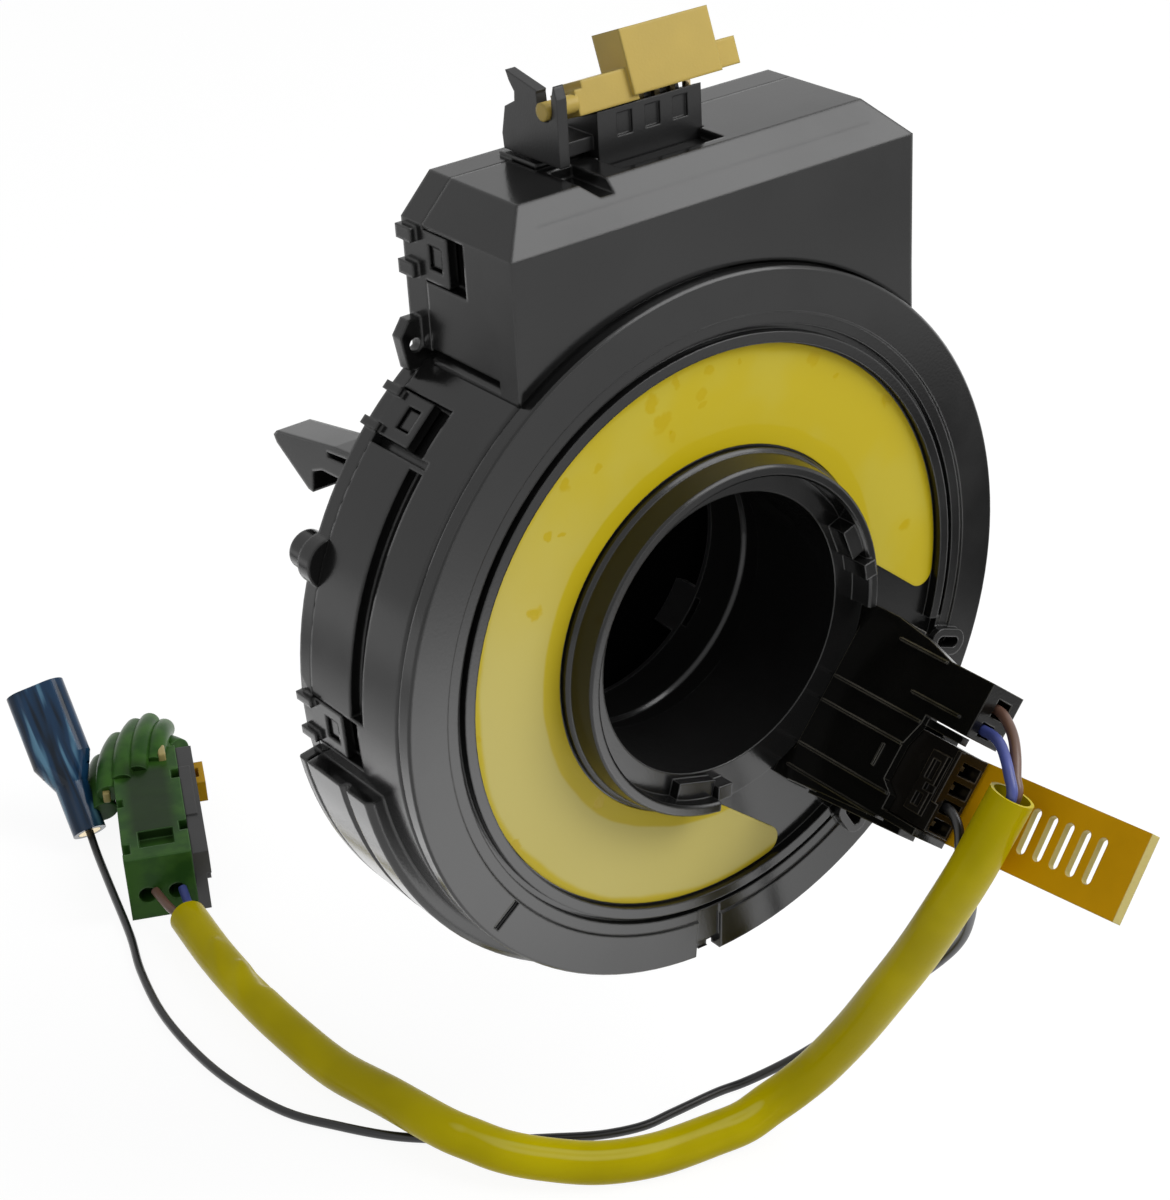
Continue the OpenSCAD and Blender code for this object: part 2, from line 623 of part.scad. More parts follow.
// Contacts rise from the fixed block and lean with the connector
module column_contacts() color(brass) upright() for (i = [0 : 3])
    translate([pin_x0 + i * pin_pitch - pin_w / 2, 0, 0]) rotate([0, 90, 0]) linear_extrude(pin_w) {
        reach = conn_h - 2.4;
        lean_y = reach * sin(conn_lean);
        lean_z = reach * cos(conn_lean);
        polygon([[pin_y - pin_t / 2, block_top], [pin_y + pin_t / 2, block_top],
            [pin_y + pin_t / 2, conn_z], [pin_y + pin_t / 2 + lean_y, conn_z + lean_z],
            [pin_y - pin_t / 2 + lean_y, conn_z + lean_z], [pin_y - pin_t / 2, conn_z]]);
    }

module fixed_block() color("#dcd6c4") upright() difference() {
    union() {
        layer(cable_front, cable_rear + 0.4) difference() {
            translate([block_x[0], block_low]) square([block_x[1] - block_x[0], block_top - block_low]);
            circle(case_r + 0.4);
        }
        rotate([0, 0, cable_a]) block([cavity_r - 0.2, case_r + 2.4],
            [-passage_w / 2 + 0.4, passage_w / 2 - 0.4], [cable_front + 0.5, cable_rear - 0.5]);
        // Stop against the tower's inner face
        block([0, 20], [block_step, block_step + 4], [tower_face + case_wall + 0.05, cable_front + 1]);
    }
    for (x = block_slots)
        block([x, x + 3], [block_top - 3.5, block_top + 1], [cable_front + 2, cable_front + 5]);
}

// The wound flat cable, one ribbon in a spiral
module flat_cable() color("#b9672c") upright() layer(cable_front, cable_rear) rotate(plug_a) {
    steps = round(cable_wound / 15);
    step = cable_wound / steps;
    inner = [for (i = [0 : steps]) turned_point(cable_in + cable_pitch * step * i / 360, step * i)];
    outer = [for (i = [steps - 1 : -1 : 0])
        turned_point(cable_in + cable_t + cable_pitch * step * i / 360, step * i)];
    // The outer end turns straight out into the tower's passage
    end_r = cable_in + cable_pitch * cable_wound / 360 + cable_t;
    tail = [for (c = [[cavity_r - 0.2, 0], [cavity_r - 0.2, -cable_t], [end_r, -cable_t]])
        [c[0] * cos(cable_wound) - c[1] * sin(cable_wound), c[0] * sin(cable_wound) + c[1] * cos(cable_wound)]];
    polygon(concat(inner, tail, outer));
}

module front_slip_sheet() color("#3d4148") upright() turned([[sheet_in, -disc_back],
    [disc_r - 0.5, -disc_back], [disc_r - 0.5, -disc_back - sheet_t], [sheet_in, -disc_back - sheet_t]]);

module rear_slip_sheet() color("#3d4148") upright() turned([[sheet_in, -case_rear],
    [cavity_r - 0.4, -case_rear], [cavity_r - 0.4, -case_rear + sheet_t], [sheet_in, -case_rear + sheet_t]]);

// Disc and hub tube are one moulding
module rotor() color(black) upright() difference() {
    union() {
        turned([[bore_r, 0], [foot_r - 0.4, 0], [foot_r, -0.4], [foot_r, -seat_d], [seat_r, -seat_d],
            [seat_r, -0.1], [groove_in, -0.1], [groove_in, -groove_d], [groove_out, -groove_d],
            [groove_out, -0.35], [step_r, -0.35], [step_r + 0.2, 0], [ring_r - edge_cut, 0],
            [ring_r, -edge_cut], [ring_r, -ring_edge], [disc_r, -ring_edge], [disc_r, -disc_back],
            [hub_r, -disc_back], [hub_r, -hub_end], [bore_r + step_w, -hub_end],
            [bore_r + step_w, -step_y - 4.5], [bore_r + step_w * 1.6, -step_y - 4],
            [bore_r + step_w * 1.6, -step_y - 1], [bore_r, -step_y]]);
        // Collar round the shaft opening
        turned([[ledge_r, -0.5], [foot_r - 0.5, -0.5], [foot_r - 0.5, 0.1], [collar_r, collar_h - 0.3],
            [collar_r - 0.3, collar_h], [ledge_r + 0.3, collar_h], [ledge_r, collar_h - 0.3]],
            collar_from, collar_turn);
        // Lug inside the collar, the stop tongue and the tab at its lower end
        for (l = hub_lugs) rotate([0, 0, l[0]])
            block([ledge_r - l[1], ledge_r + 0.5], [-l[2], l[2]], [-l[3], 1]);
        // The groove stops short of the plug
        turned([[groove_in - 0.2, -0.45], [groove_out + 0.2, -0.45], [groove_out + 0.2, -groove_d - 0.3],
            [groove_in - 0.2, -groove_d - 0.3]], rib_gap_from - 0.4, rib_gap_turn + 0.8);
        // Loops of the ring's clips beside the plug
        for (a = loop_places) rotate([0, 0, a]) translate([loop_r, 0, -0.5]) linear_extrude(1.5)
            stadium(loop_l, loop_w);
    }
    for (a = loop_places) rotate([0, 0, a]) translate([loop_r, 0, -groove_d]) linear_extrude(3)
        stadium(loop_l - 2 * loop_wall, loop_w - 2 * loop_wall);
    // Gap of the raised rib beside the plug
    turned([[seat_r - 1, -seat_d], [groove_in + 0.3, -seat_d], [groove_in + 0.3, 0.01], [seat_r - 1, 0.01]],
        rib_gap_from, rib_gap_turn);
    // Notch in the rim above the case's pointer, and the radial mark
    turned([[ring_r - 7.4, 1], [ring_r + 1, 1], [ring_r + 1, -ring_edge - 1], [ring_r - 2.4, -ring_edge - 1],
        [ring_r - 2.4, -0.5], [ring_r - 7.4, -0.5]], -97.6, 5.2);
    rotate([0, 0, -144]) block([step_r + 0.3, ring_r - 1.2], [-0.5, 0.5], [-1, 0.4]);
    // Slots in the rear end of the hub that the retaining ring's dogs lock into
    for (a = [plug_a, plug_a + 180]) rotate([0, 0, a])
        block([bore_r - 1, hub_r + 1], [-2.2, 2.2], [hub_end - 1.2, hub_end + 1]);
}

// A thin raised line on the wall towards the hub
module ridge(t, from, to)
    block([plug_in - ridge_h, plug_in + 0.5], [t - ridge_w / 2, t + ridge_w / 2], [-to, -from]);

// Housing of the plug and of the two leads, fixed on the ring
module plug_housing() color(black) upright() in_plug() difference() {
    union() {
        // Foot on the ring
        block([plug_in, foot_out], [-foot_low, foot_up], [-foot_h, seat_d]);
        // Lead socket
        block([plug_in, plug_out], [socket_t0, socket_t1], [-socket_h, seat_d]);
        // Wall towards the hub, with the plug's end left free
        side_plate(plug_in, plug_in + plug_wall) polygon([[-seat_d, -foot_low], [0, -foot_low],
            [low_wall_h, 1.7 - foot_low], [low_wall_h, -8.4], [wall_h, -7], [wall_h, -1.6],
            [low_wall_h - 0.9, 2], [low_wall_h - 0.9, socket_t1 - 1], [low_wall_h - 1.3, socket_t1],
            [12, foot_up - 0.9], [5.5, foot_up], [-seat_d, foot_up]]);
        // Lower wall of the seat and the bar above it
        block([plug_in, plug_out], [core_t0 - plug_gap - 1.1, core_t0 - plug_gap], [-core_h + 0.2, seat_d]);
        block([plug_in + 1, plug_in + 2.2], [core_t1 + 0.55, core_t1 + 1.65], [-core_h + 1, -wall_h + 1]);
        // Guide of the transport lock
        in_lock() translate([plug_out - 0.4, -lock_w / 2 - guide_w, -lock_foot - 0.3])
            cube([lock_n1 + guide_w - plug_out + 0.4, lock_w + 2 * guide_w, guide_h + 0.3]);
        // Ridges on the wall
        ridge(2, 0.3, low_wall_h - 1);
        ridge(-1.75, 0.3, wall_h);
        ridge(-8.5, 0.3, low_wall_h - 0.4);
        ridge(-11.9, 0.3, low_wall_h);
        ridge(socket_t1 - 0.4, 7.5, 16.5);
        ridge(5.1, 13.5, 22.5);
        block([plug_in - ridge_h, plug_in + 0.5], [-6.2, -2.9], [-13.6, -13.3]);
    }
    // Seat of the plug
    block([plug_in + plug_wall, plug_out + 0.1], [core_t0 - plug_gap, core_t1 + plug_gap],
        [-socket_h - 9, -core_foot]);
    // Way of the transport lock, with a window in its guide
    in_lock() translate([lock_n0 - lock_gap, -lock_w / 2 - lock_gap, -lock_gap])
        cube([lock_t + 2 * lock_gap, lock_w + 2 * lock_gap, lock_l]);
    in_lock() translate([plug_out + 0.2, 1.5 - lock_w / 2, guide_h - lock_foot - 5])
        cube([lock_n1 + guide_w, lock_w - 3, 6]);
    // Mouths of the two leads
    for (m = mouths) block([m[0] - m[2] / 2, m[0] + m[2] / 2], [m[1] - m[3] / 2, m[1] + m[3] / 2],
        [-socket_h - 1, -socket_h + mouth_d]);
    // Cut corners of the foot, and the seat cleared round the hub's foot and inside the raised rib
    block([plug_out + foot_cut, foot_out + 1], [-foot_low - 1, -6], [-foot_h - 1, seat_d + 1]);
    block([plug_out + foot_cut, foot_out + 1], [7.4, foot_up + 1], [-foot_h - 1, seat_d + 1]);
    layer(0, seat_d + 1) circle(foot_r + seat_gap, $fn = 180);
    layer(0, seat_d + 1) difference() {
        circle(ring_r);
        circle(groove_in - seat_gap - 0.2, $fn = 180);
    }
}

module caution_label() color("#e3d21c") upright() layer(seat_d - label_t, seat_d)
    offset(r = label_corner, $fn = 32) offset(delta = -label_corner) difference() {
        circle(label_r, $fn = 120);
        circle(label_in, $fn = 90);
        rotate(plug_a) translate([0, -label_cut_low]) square([label_r + 1, label_cut_up + label_cut_low]);
    }

module ring_plug() color("#24211d") upright() in_plug() difference() {
    union() {
        block([core_n0, core_n1], [core_t0, core_t1], [-core_h, -core_foot]);
        // Latch that stands proud of the face towards the hub, and the lip at the mouth
        block([core_n0 - latch_h, core_n0 + 0.5], [core_t0 + 1.5, core_t1 - 1.6],
            [-core_h + 1.6, -core_h + 4.4]);
        block([core_n0 - latch_h, core_n0 + 0.5], [core_t0 + 3.9, core_t1 - 0.2], [-core_h, -core_h + 0.7]);
    }
    for (c = [0 : cells - 1]) block([cell_n0, cell_n1],
        [core_t1 - 1.35 - cell_w - cell_pitch * c, core_t1 - 1.35 - cell_pitch * c],
        [-core_h - 1, -core_h + 8]);
    // Openings of the latch
    block([core_n0 - 2, core_n0 - 0.1], [core_t1 - 5.5, core_t1 - 2.7], [-core_h + 2.3, -core_h + 3.6]);
    block([core_n0 - 2, core_n0 - 0.1], [core_t0 + 2.4, core_t0 + 4.2], [-core_h + 2.3, -core_h + 3.6]);
    block([core_n0 - 2, core_n0 - 0.1], [core_t0 + 4.8, core_t0 + 5.8], [-core_h + 1, -core_h + 2.9]);
}

module ring_plug_contacts() color(brass) upright() in_plug() for (c = [0 : cells - 1])
    block([cell_n0 + 0.9, cell_n1 - 0.9], [core_t1 - 1.35 - cell_w / 2 - cell_pitch * c - 0.35,
        core_t1 - 1.35 - cell_w / 2 - cell_pitch * c + 0.35], [-core_h + contact_in, -core_h + 8]);

module moving_block() color("#dcd6c4") upright() in_plug() difference() {
    union() {
        block([hub_r - 1, hub_r + 4.2], [-6, 6], [disc_back, cable_rear - 4]);
        // Finger that holds the inner end of the cable
        block([hub_r + 4, cable_in - finger_gap], [-1.6, 0], [cable_front, cable_rear - 4]);
    }
    layer(0, case_rear) circle(hub_r, $fn = 180);
}

module rear_retainer() color("#2a2b2d") upright() {
    turned([[hub_r + 0.05, -retainer_front], [retainer_out, -retainer_front],
        [retainer_out, -hub_end + 0.5], [retainer_out - 0.5, -hub_end], [hub_r + 0.05, -hub_end]]);
    turned([[bore_r + step_w, -hub_end], [retainer_out - 1.4, -hub_end], [retainer_out - 1.4, -hub_end - 0.8],
        [bore_r + step_w, -hub_end - 0.8]]);
    for (a = [plug_a, plug_a + 180]) turned([[bore_r + step_w, -hub_end], [bore_r + step_w + 2, -hub_end],
        [bore_r + step_w + 2, -hub_end - dog_l], [bore_r + step_w, -hub_end - dog_l]], a - dog_a / 2, dog_a);
}

module transport_lock() color(amber) upright() in_plug() in_lock() difference() {
    union() {
        translate([lock_n0, -lock_w / 2, 0]) cube([lock_t, lock_w, lock_l]);
        translate([lock_n0, -lock_w / 2, lock_l - lock_lip]) cube([lock_t + 0.7, lock_w, lock_lip]);
    }
    for (i = [0 : lock_slots - 1]) translate([lock_n0 - 1, 0, lock_l - lock_last - lock_pitch * i])
        rotate([90, 0, 90]) linear_extrude(lock_t + 2) stadium(lock_slot, lock_slot_w);
    // Open end of the strip's foot
    translate([lock_n0 - 1, 4 - lock_w / 2, -1]) cube([lock_t + 2, lock_w - 8, 6]);
}

module brown_wire() color("#5d4334") {
    lead(brown_start, wire_d, 8);
    lead(brown_end, wire_d, 8);
}

module blue_wire() color("#4a55a0") {
    lead(blue_start, wire_d, 8);
    lead(blue_end, wire_d, 8);
}

module black_wire() color("#1d1d1f") lead(black_path, wire_d - 0.1, 8);

module cable_sleeve() color("#c9c026") lead(sleeve_path, sleeve_d, 12);

module in_air() translate(air_at) rotate([0, 0, air_turn]) children();

module airbag_connector() color("#2f6d35") in_air() difference() {
    union() {
        translate([air_x0, 0, 0]) cube([air_in - air_x0, air_body, air_h]);
        // Ribbed head with its round shoulders
        translate([air_x0 + 0.6, air_body - 2, 0]) cube([air_in - air_x0 - 0.6, air_head + 2, air_h - 2]);
        for (i = [0 : air_ribs - 1])
            translate([air_rib_x0 + air_rib_pitch * i, air_body - 3 + i % 2, air_h - 2.2])
                rotate([-90, 0, 0]) cylinder(h = air_head + 2, r = air_rib_r + 0.3 * (i % 2), $fn = 24);
    }
    // Hollow nose of the head
    translate([-air_side / 2, air_body + 1, air_h / 2 - 1]) rotate([-90, 0, 0])
        cylinder(h = air_head + 2, r = nose_r);
    // Mouths of the two leads
    for (x = air_leads) translate([x, -1, 4.6]) rotate([-90, 0, 0]) cylinder(h = 5, r = 1.5);
    // Window over the wire end, side notches and the waist
    translate([-4.2, 3.4, air_h - 1.8]) cube([6, 5, 3]);
    translate([air_x0 - 1, 2, air_h - 3]) cube([2.4, 3, 4]);
    translate([air_x0 - 1, 17, air_h - 2.6]) cube([2.2, 2.6, 4]);
    translate([air_in - 1.4, 7, air_h - 3]) cube([3, 3, 4]);
    translate([air_in - 1.4, 24, air_h - 3]) cube([3, 3, 4]);
    translate([air_x0 - 1, air_body - 6, -1]) cube([1.8, 3, air_h + 2]);
    // Room for the pressed lock
    translate([air_in - 2.2, air_body - 9.2, 4.8]) cube([3, 7.4, 4.4]);
}

module airbag_side_cover() color("#26282a") in_air() difference() {
    union() {
        translate([air_in, 0, 0]) cube([air_side, air_body, air_h - 0.6]);
        translate([air_in, 12, air_h - 1]) cube([air_side - 0.8, 16, 0.6]);
    }
    translate([air_x1 - 0.8, -1, -1]) cube([2, 10, air_h - 4]);
    translate([air_in - 1, air_body - 9.2, 4.8]) cube([air_side + 2, 7.4, 4.4]);
}

module airbag_lock() color(amber) in_air() difference() {
    translate([air_in - 0.4, air_body - 9, 5]) cube([air_side + 2, 7, 4]);
    translate([air_x1 - 0.2, air_body - 7, 4]) cube([0.8, 3, 6]);
}

module airbag_contacts() color(brass) in_air() for (x = [-2.6, -0.2])
    translate([x, air_body + 3.4, air_h / 2 - 1]) rotate([90, 0, 0]) cylinder(h = 2.4, r = 0.5, $fn = 24);

module in_horn() translate(horn_at) rotate(horn_turn) rotate([horn_tilt, 0, 0])
    rotate([0, 0, horn_roll]) children();

module horn_insulator() color("#2f6fa8") in_horn() difference() {
    union() {
        cylinder(h = horn_barrel, r = horn_neck, $fn = 32);
        hull() {
            translate([0, 0, horn_barrel - 0.1]) cylinder(h = 0.1, r = horn_neck, $fn = 32);
            translate([0, 0, horn_barrel + horn_taper]) linear_extrude(0.1) stadium(horn_w, horn_t);
        }
        translate([0, 0, horn_barrel + horn_taper]) linear_extrude(horn_l - horn_barrel - horn_taper)
            stadium(horn_w, horn_t);
    }
    translate([0, 0, -1]) cylinder(h = horn_barrel + 4, r = horn_neck - horn_wall, $fn = 32);
    translate([0, 0, horn_barrel + 2.6]) linear_extrude(horn_l)
        stadium(horn_w - 2 * horn_wall, horn_t - 2 * horn_wall);
}

module horn_terminal() color(brass) in_horn() {
    cylinder(h = horn_barrel, r = horn_neck - horn_wall - 0.1, $fn = 32);
    translate([-1.2, -0.4, horn_barrel - 1]) cube([2.4, 0.8, 5]);
    translate([-3.1, -0.4, horn_barrel + 3.2]) cube([6.2, 0.8, horn_l - horn_barrel - 5.4]);
    for (s = [-1, 1]) translate([s * 2.7 - 0.4, -1.5, horn_barrel + 4])
        cube([0.8, 3, horn_l - horn_barrel - 6.4]);
}

stator_case();
tower_case();
rear_cover();
column_socket();
column_connector();
column_contacts();
fixed_block();
flat_cable();
front_slip_sheet();
rear_slip_sheet();
rotor();
plug_housing();
caution_label();
ring_plug();
ring_plug_contacts();
moving_block();
rear_retainer();
transport_lock();
brown_wire();
blue_wire();
black_wire();
cable_sleeve();
airbag_connector();
airbag_side_cover();
airbag_contacts();
airbag_lock();
horn_terminal();
horn_insulator();
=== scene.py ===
"""Steering clock spring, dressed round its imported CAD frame."""
from math import cos, exp, radians, sin

import bmesh
import bpy
from mathutils import Matrix, Vector


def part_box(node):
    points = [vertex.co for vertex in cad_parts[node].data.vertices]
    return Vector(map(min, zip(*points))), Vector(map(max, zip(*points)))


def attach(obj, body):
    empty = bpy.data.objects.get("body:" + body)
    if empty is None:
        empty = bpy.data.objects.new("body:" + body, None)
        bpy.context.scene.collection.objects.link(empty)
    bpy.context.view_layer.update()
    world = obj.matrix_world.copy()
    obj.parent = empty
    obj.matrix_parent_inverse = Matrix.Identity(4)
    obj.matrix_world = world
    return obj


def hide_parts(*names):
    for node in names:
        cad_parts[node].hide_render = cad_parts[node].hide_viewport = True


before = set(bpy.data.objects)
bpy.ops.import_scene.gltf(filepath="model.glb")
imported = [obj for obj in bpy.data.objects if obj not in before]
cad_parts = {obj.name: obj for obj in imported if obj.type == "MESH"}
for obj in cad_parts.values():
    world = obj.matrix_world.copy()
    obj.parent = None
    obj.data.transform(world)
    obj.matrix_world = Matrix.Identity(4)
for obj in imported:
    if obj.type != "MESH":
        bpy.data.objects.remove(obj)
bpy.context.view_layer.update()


# Camera: where the photographer stood, in front of the ring, to its left and above it, looking
# down at it with a long lens. Its place and its directions are in the part's own frame.
MM = 0.001
CAMERA_AT = Vector((-190.270, -231.578, 169.081)) * MM
CAMERA_RIGHT = Vector((0.79128724, -0.60925143, -0.05174171))
CAMERA_UP = Vector((0.32778919, 0.35124477, 0.87702985))
CAMERA_AHEAD = Vector((0.51615769, 0.7109429, -0.47764153))
FOCAL_PX, IMAGE_LONG_PX = 2600, 1200
SENSOR_WIDTH, CLIP_START = 36, 0.01

lens = bpy.data.cameras.new("camera")
lens.sensor_width, lens.clip_start = SENSOR_WIDTH, CLIP_START
lens.lens = FOCAL_PX / IMAGE_LONG_PX * SENSOR_WIDTH
camera = bpy.data.objects.new("camera", lens)
axes = Matrix((CAMERA_RIGHT, CAMERA_UP, -CAMERA_AHEAD)).transposed()
camera.matrix_world = Matrix.Translation(CAMERA_AT) @ axes.to_4x4()
bpy.context.scene.collection.objects.link(camera)
bpy.context.scene.camera = camera
bpy.context.scene.view_settings.view_transform = "Standard"


# Table: the plain white top that the part stands on. The camera sees it white, with the part's
# soft shadow. Gloss mirrors it brightest close in front of the part, and with a few soft patches.
TABLE_SIDE, REST_Z = 6, -84.5 * MM
# How pale it is for the part and for the camera, and the even white light that hides its shading.
TABLE_TONE, TONE_SEEN = 0.6, 0.85
WHITE_LIGHT, WHITE_SHARE = 1.12, 0.82
# In gloss: where it is brightest, the light there and far off, and from where to where it fades.
GLOW_AT, GLOW_NEAR, GLOW_FAR = (0.0, -0.105, REST_Z), 3.5, 1.25
GLOW_FROM, GLOW_TO = 0.02, 0.11
# A patch: its middle, how far out it is full, how far out it ends, and how much light it leaves.
PATCHES = (((0.185, -0.12, REST_Z), 0.03, 0.12, 0.12),
           ((-0.194, 0.25, REST_Z), 0.005, 0.035, 0.1),
           ((-0.22, 0.28, REST_Z), 0.02, 0.2, 0.55),
           ((0.32, -0.27, REST_Z), 0.02, 0.12, 0.6),
           ((-0.084, 0.093, REST_Z), 0.02, 0.08, 1.4))
# A Mix node's sockets share their names, so the factor and the colours go by number.
MIX_FACTOR, MIX_FROM, MIX_TO, MIX_COLOUR = 0, 6, 7, 2


class Wire:
    """A shader socket that can stand in an expression, and that adds nodes to its tree."""

    def __init__(self, tree, socket=None):
        self.tree, self.socket = tree, socket

    def add(self, kind, settings=None, values=None, out=0):
        """A node of this kind: its settings first, then the values or links of its sockets."""
        node = self.tree.nodes.new(kind)
        for key, value in (settings or {}).items():
            setattr(node, key, value)
        for key, value in (values or {}).items():
            put(node.inputs[key], value)
        return Wire(self.tree, node.outputs[out] if node.outputs else None)

    def maths(self, operation, a, b=0.0):
        return self.add("ShaderNodeMath", {"operation": operation}, {0: a, 1: b})

    def __add__(self, other): return self.maths("ADD", self, other)
    def __radd__(self, other): return self.maths("ADD", other, self)
    def __sub__(self, other): return self.maths("SUBTRACT", self, other)
    def __rsub__(self, other): return self.maths("SUBTRACT", other, self)
    def __mul__(self, other): return self.maths("MULTIPLY", self, other)
    def __rmul__(self, other): return self.maths("MULTIPLY", other, self)
    def __abs__(self): return self.maths("ABSOLUTE", self)
    def most(self, other): return self.maths("MAXIMUM", self, other)

    def step(self, low, high):
        """0 below low, 1 above high, smooth between."""
        return self.add("ShaderNodeMapRange", {"interpolation_type": "SMOOTHSTEP"},
                        {"Value": self, "From Min": low, "From Max": high})

    def blend(self, a, b):
        """Colour a where this is 0 and b where it is 1."""
        return self.add("ShaderNodeMix", {"data_type": "RGBA"},
                        {MIX_FACTOR: self, MIX_FROM: a, MIX_TO: b}, out=MIX_COLOUR)

    def vector(self, operation, *others, out="Value"):
        return self.add("ShaderNodeVectorMath", {"operation": operation},
                        dict(enumerate((self, *others))), out)

    def noise(self, scale, detail, out=0, **more):
        """Soft clouds at this place, as many to the metre as scale says."""
        return self.add("ShaderNodeTexNoise", out=out, values={
            "Vector": self, "Scale": scale, "Detail": detail, **more})

    def bump(self, strength, deep, under=None):
        """The normal of a surface that this raises by up to so many millimetres."""
        values = {"Height": self, "Strength": strength, "Distance": deep * MM}
        return self.add("ShaderNodeBump", values={**values, "Normal": under} if under else values)

    def place(self): return self.add("ShaderNodeTexCoord", out="Object")
    def normal(self): return self.add("ShaderNodeNewGeometry", out="Normal")
    def ray(self, kind): return self.add("ShaderNodeLightPath", out=f"Is {kind} Ray")
    def show(self): self.add("ShaderNodeOutputMaterial", values={"Surface": self})


def put(socket, value):
    """Links a socket or sets it, a colour with its alpha."""
    if isinstance(value, Wire):
        socket.id_data.links.new(value.socket, socket)
    else:
        socket.default_value = (*value, 1) if socket.type == "RGBA" else value


def new_material(name):
    """An empty material, and a wire that adds nodes to it."""
    material = bpy.data.materials.new(name)
    material.use_nodes = True
    material.node_tree.nodes.clear()
    return material, Wire(material.node_tree)


def mesh_object(name, mesh, material, smooth=True):
    """A piece of this mesh, all of it in this material."""
    piece = bpy.data.objects.new(name, mesh)
    bpy.context.scene.collection.objects.link(piece)
    mesh.materials.clear()
    mesh.materials.append(material)
    for face in mesh.polygons:
        face.use_smooth = smooth
    return piece


table_white, shade = new_material("table_white")
place = shade.place()
near = place.vector("DISTANCE", GLOW_AT)
glow = GLOW_NEAR + near.step(GLOW_FROM, GLOW_TO) * (GLOW_FAR - GLOW_NEAR)
for middle, inner, outer, left in PATCHES:
    glow = glow * (left + (1 - left) * place.vector("DISTANCE", middle).step(inner, outer))
to_camera = shade.ray("Camera")
tone = TABLE_TONE + to_camera * (TONE_SEEN - TABLE_TONE)
lit = shade.add("ShaderNodeBsdfDiffuse", values={
    "Color": shade.add("ShaderNodeCombineColor", values={0: tone, 1: tone, 2: tone})})
white = shade.add("ShaderNodeEmission", values={"Color": (1, 1, 1), "Strength": WHITE_LIGHT})
mirrored = shade.add("ShaderNodeEmission", values={"Color": (1, 1, 1), "Strength": glow})
seen = shade.add("ShaderNodeMixShader", values={0: WHITE_SHARE, 1: lit, 2: white})
kept = shade.add("ShaderNodeMixShader", values={
    0: to_camera.most(shade.ray("Transmission")), 1: lit, 2: seen})
shade.add("ShaderNodeMixShader", values={0: shade.ray("Glossy"), 1: kept, 2: mirrored}).show()
half = TABLE_SIDE / 2
table_mesh = bpy.data.meshes.new("table")
table_mesh.from_pydata([(-half, -half, REST_Z), (half, -half, REST_Z), (half, half, REST_Z),
                        (-half, half, REST_Z)], [], [(0, 1, 2, 3)])
mesh_object("table", table_mesh, table_white, smooth=False)


# Dark card: a round stage piece close behind the hub's far end, which isn't part of the object. It
# shows from the front alone, and hides the pale table that would show through the opening.
CARD_R, CARD_Y, CARD_CORNERS = 27.2, 32.3, 72
CARD_TONE = (0.004, 0.004, 0.004)

card_black, shade = new_material("dark_card")
from_front = 1 - shade.add("ShaderNodeNewGeometry", out="Backfacing")
shown = from_front * shade.ray("Camera").most(shade.ray("Glossy"))
dark = shade.add("ShaderNodeBsdfDiffuse", values={"Color": CARD_TONE})
clear = shade.add("ShaderNodeBsdfTransparent", values={"Color": (1, 1, 1)})
shade.add("ShaderNodeMixShader", values={0: shown, 1: clear, 2: dark}).show()
turns = [radians(360 / CARD_CORNERS * corner) for corner in range(CARD_CORNERS)]
card_mesh = bpy.data.meshes.new("card")
card_mesh.from_pydata([(CARD_R * MM * cos(turn), CARD_Y * MM, CARD_R * MM * sin(turn))
                       for turn in turns], [], [tuple(range(CARD_CORNERS))])
mesh_object("card", card_mesh, card_black, smooth=False)


# Studio light: a pale surrounding that is white to the camera and nearly white in gloss, a large
# soft box in front of the part at the upper right, and a weak one at the left.
AMBIENT, MIRRORED, BACKDROP = 0.36, 0.86, 1.0       # for the part, in gloss, for the camera

world = bpy.data.worlds.new("studio")
bpy.context.scene.world = world
world.use_nodes = True
world.node_tree.nodes.clear()
sky = Wire(world.node_tree)
strength = (AMBIENT + sky.ray("Camera").most(sky.ray("Transmission")) * (BACKDROP - AMBIENT)
            + sky.ray("Glossy") * (MIRRORED - AMBIENT))
backdrop = sky.add("ShaderNodeBackground", values={"Color": (1, 1, 1), "Strength": strength})
sky.add("ShaderNodeOutputWorld", values={"Surface": backdrop})


def soft_box(name, direction, distance, side, watts):
    """A square lamp out in this direction, which faces the part."""
    lamp = bpy.data.lights.new(name, "AREA")
    lamp.shape, lamp.size, lamp.energy = "SQUARE", side, watts
    box = bpy.data.objects.new(name, lamp)
    aim = Vector(direction).normalized()
    box.location = aim * distance
    box.rotation_euler = aim.to_track_quat("Z", "Y").to_euler()
    bpy.context.scene.collection.objects.link(box)


soft_box("key_box", direction=(0.56, -0.48, 0.68), distance=0.62, side=0.48, watts=2.8)
soft_box("left_box", direction=(-0.9, -0.25, 0.55), distance=0.8, side=0.5, watts=0.35)


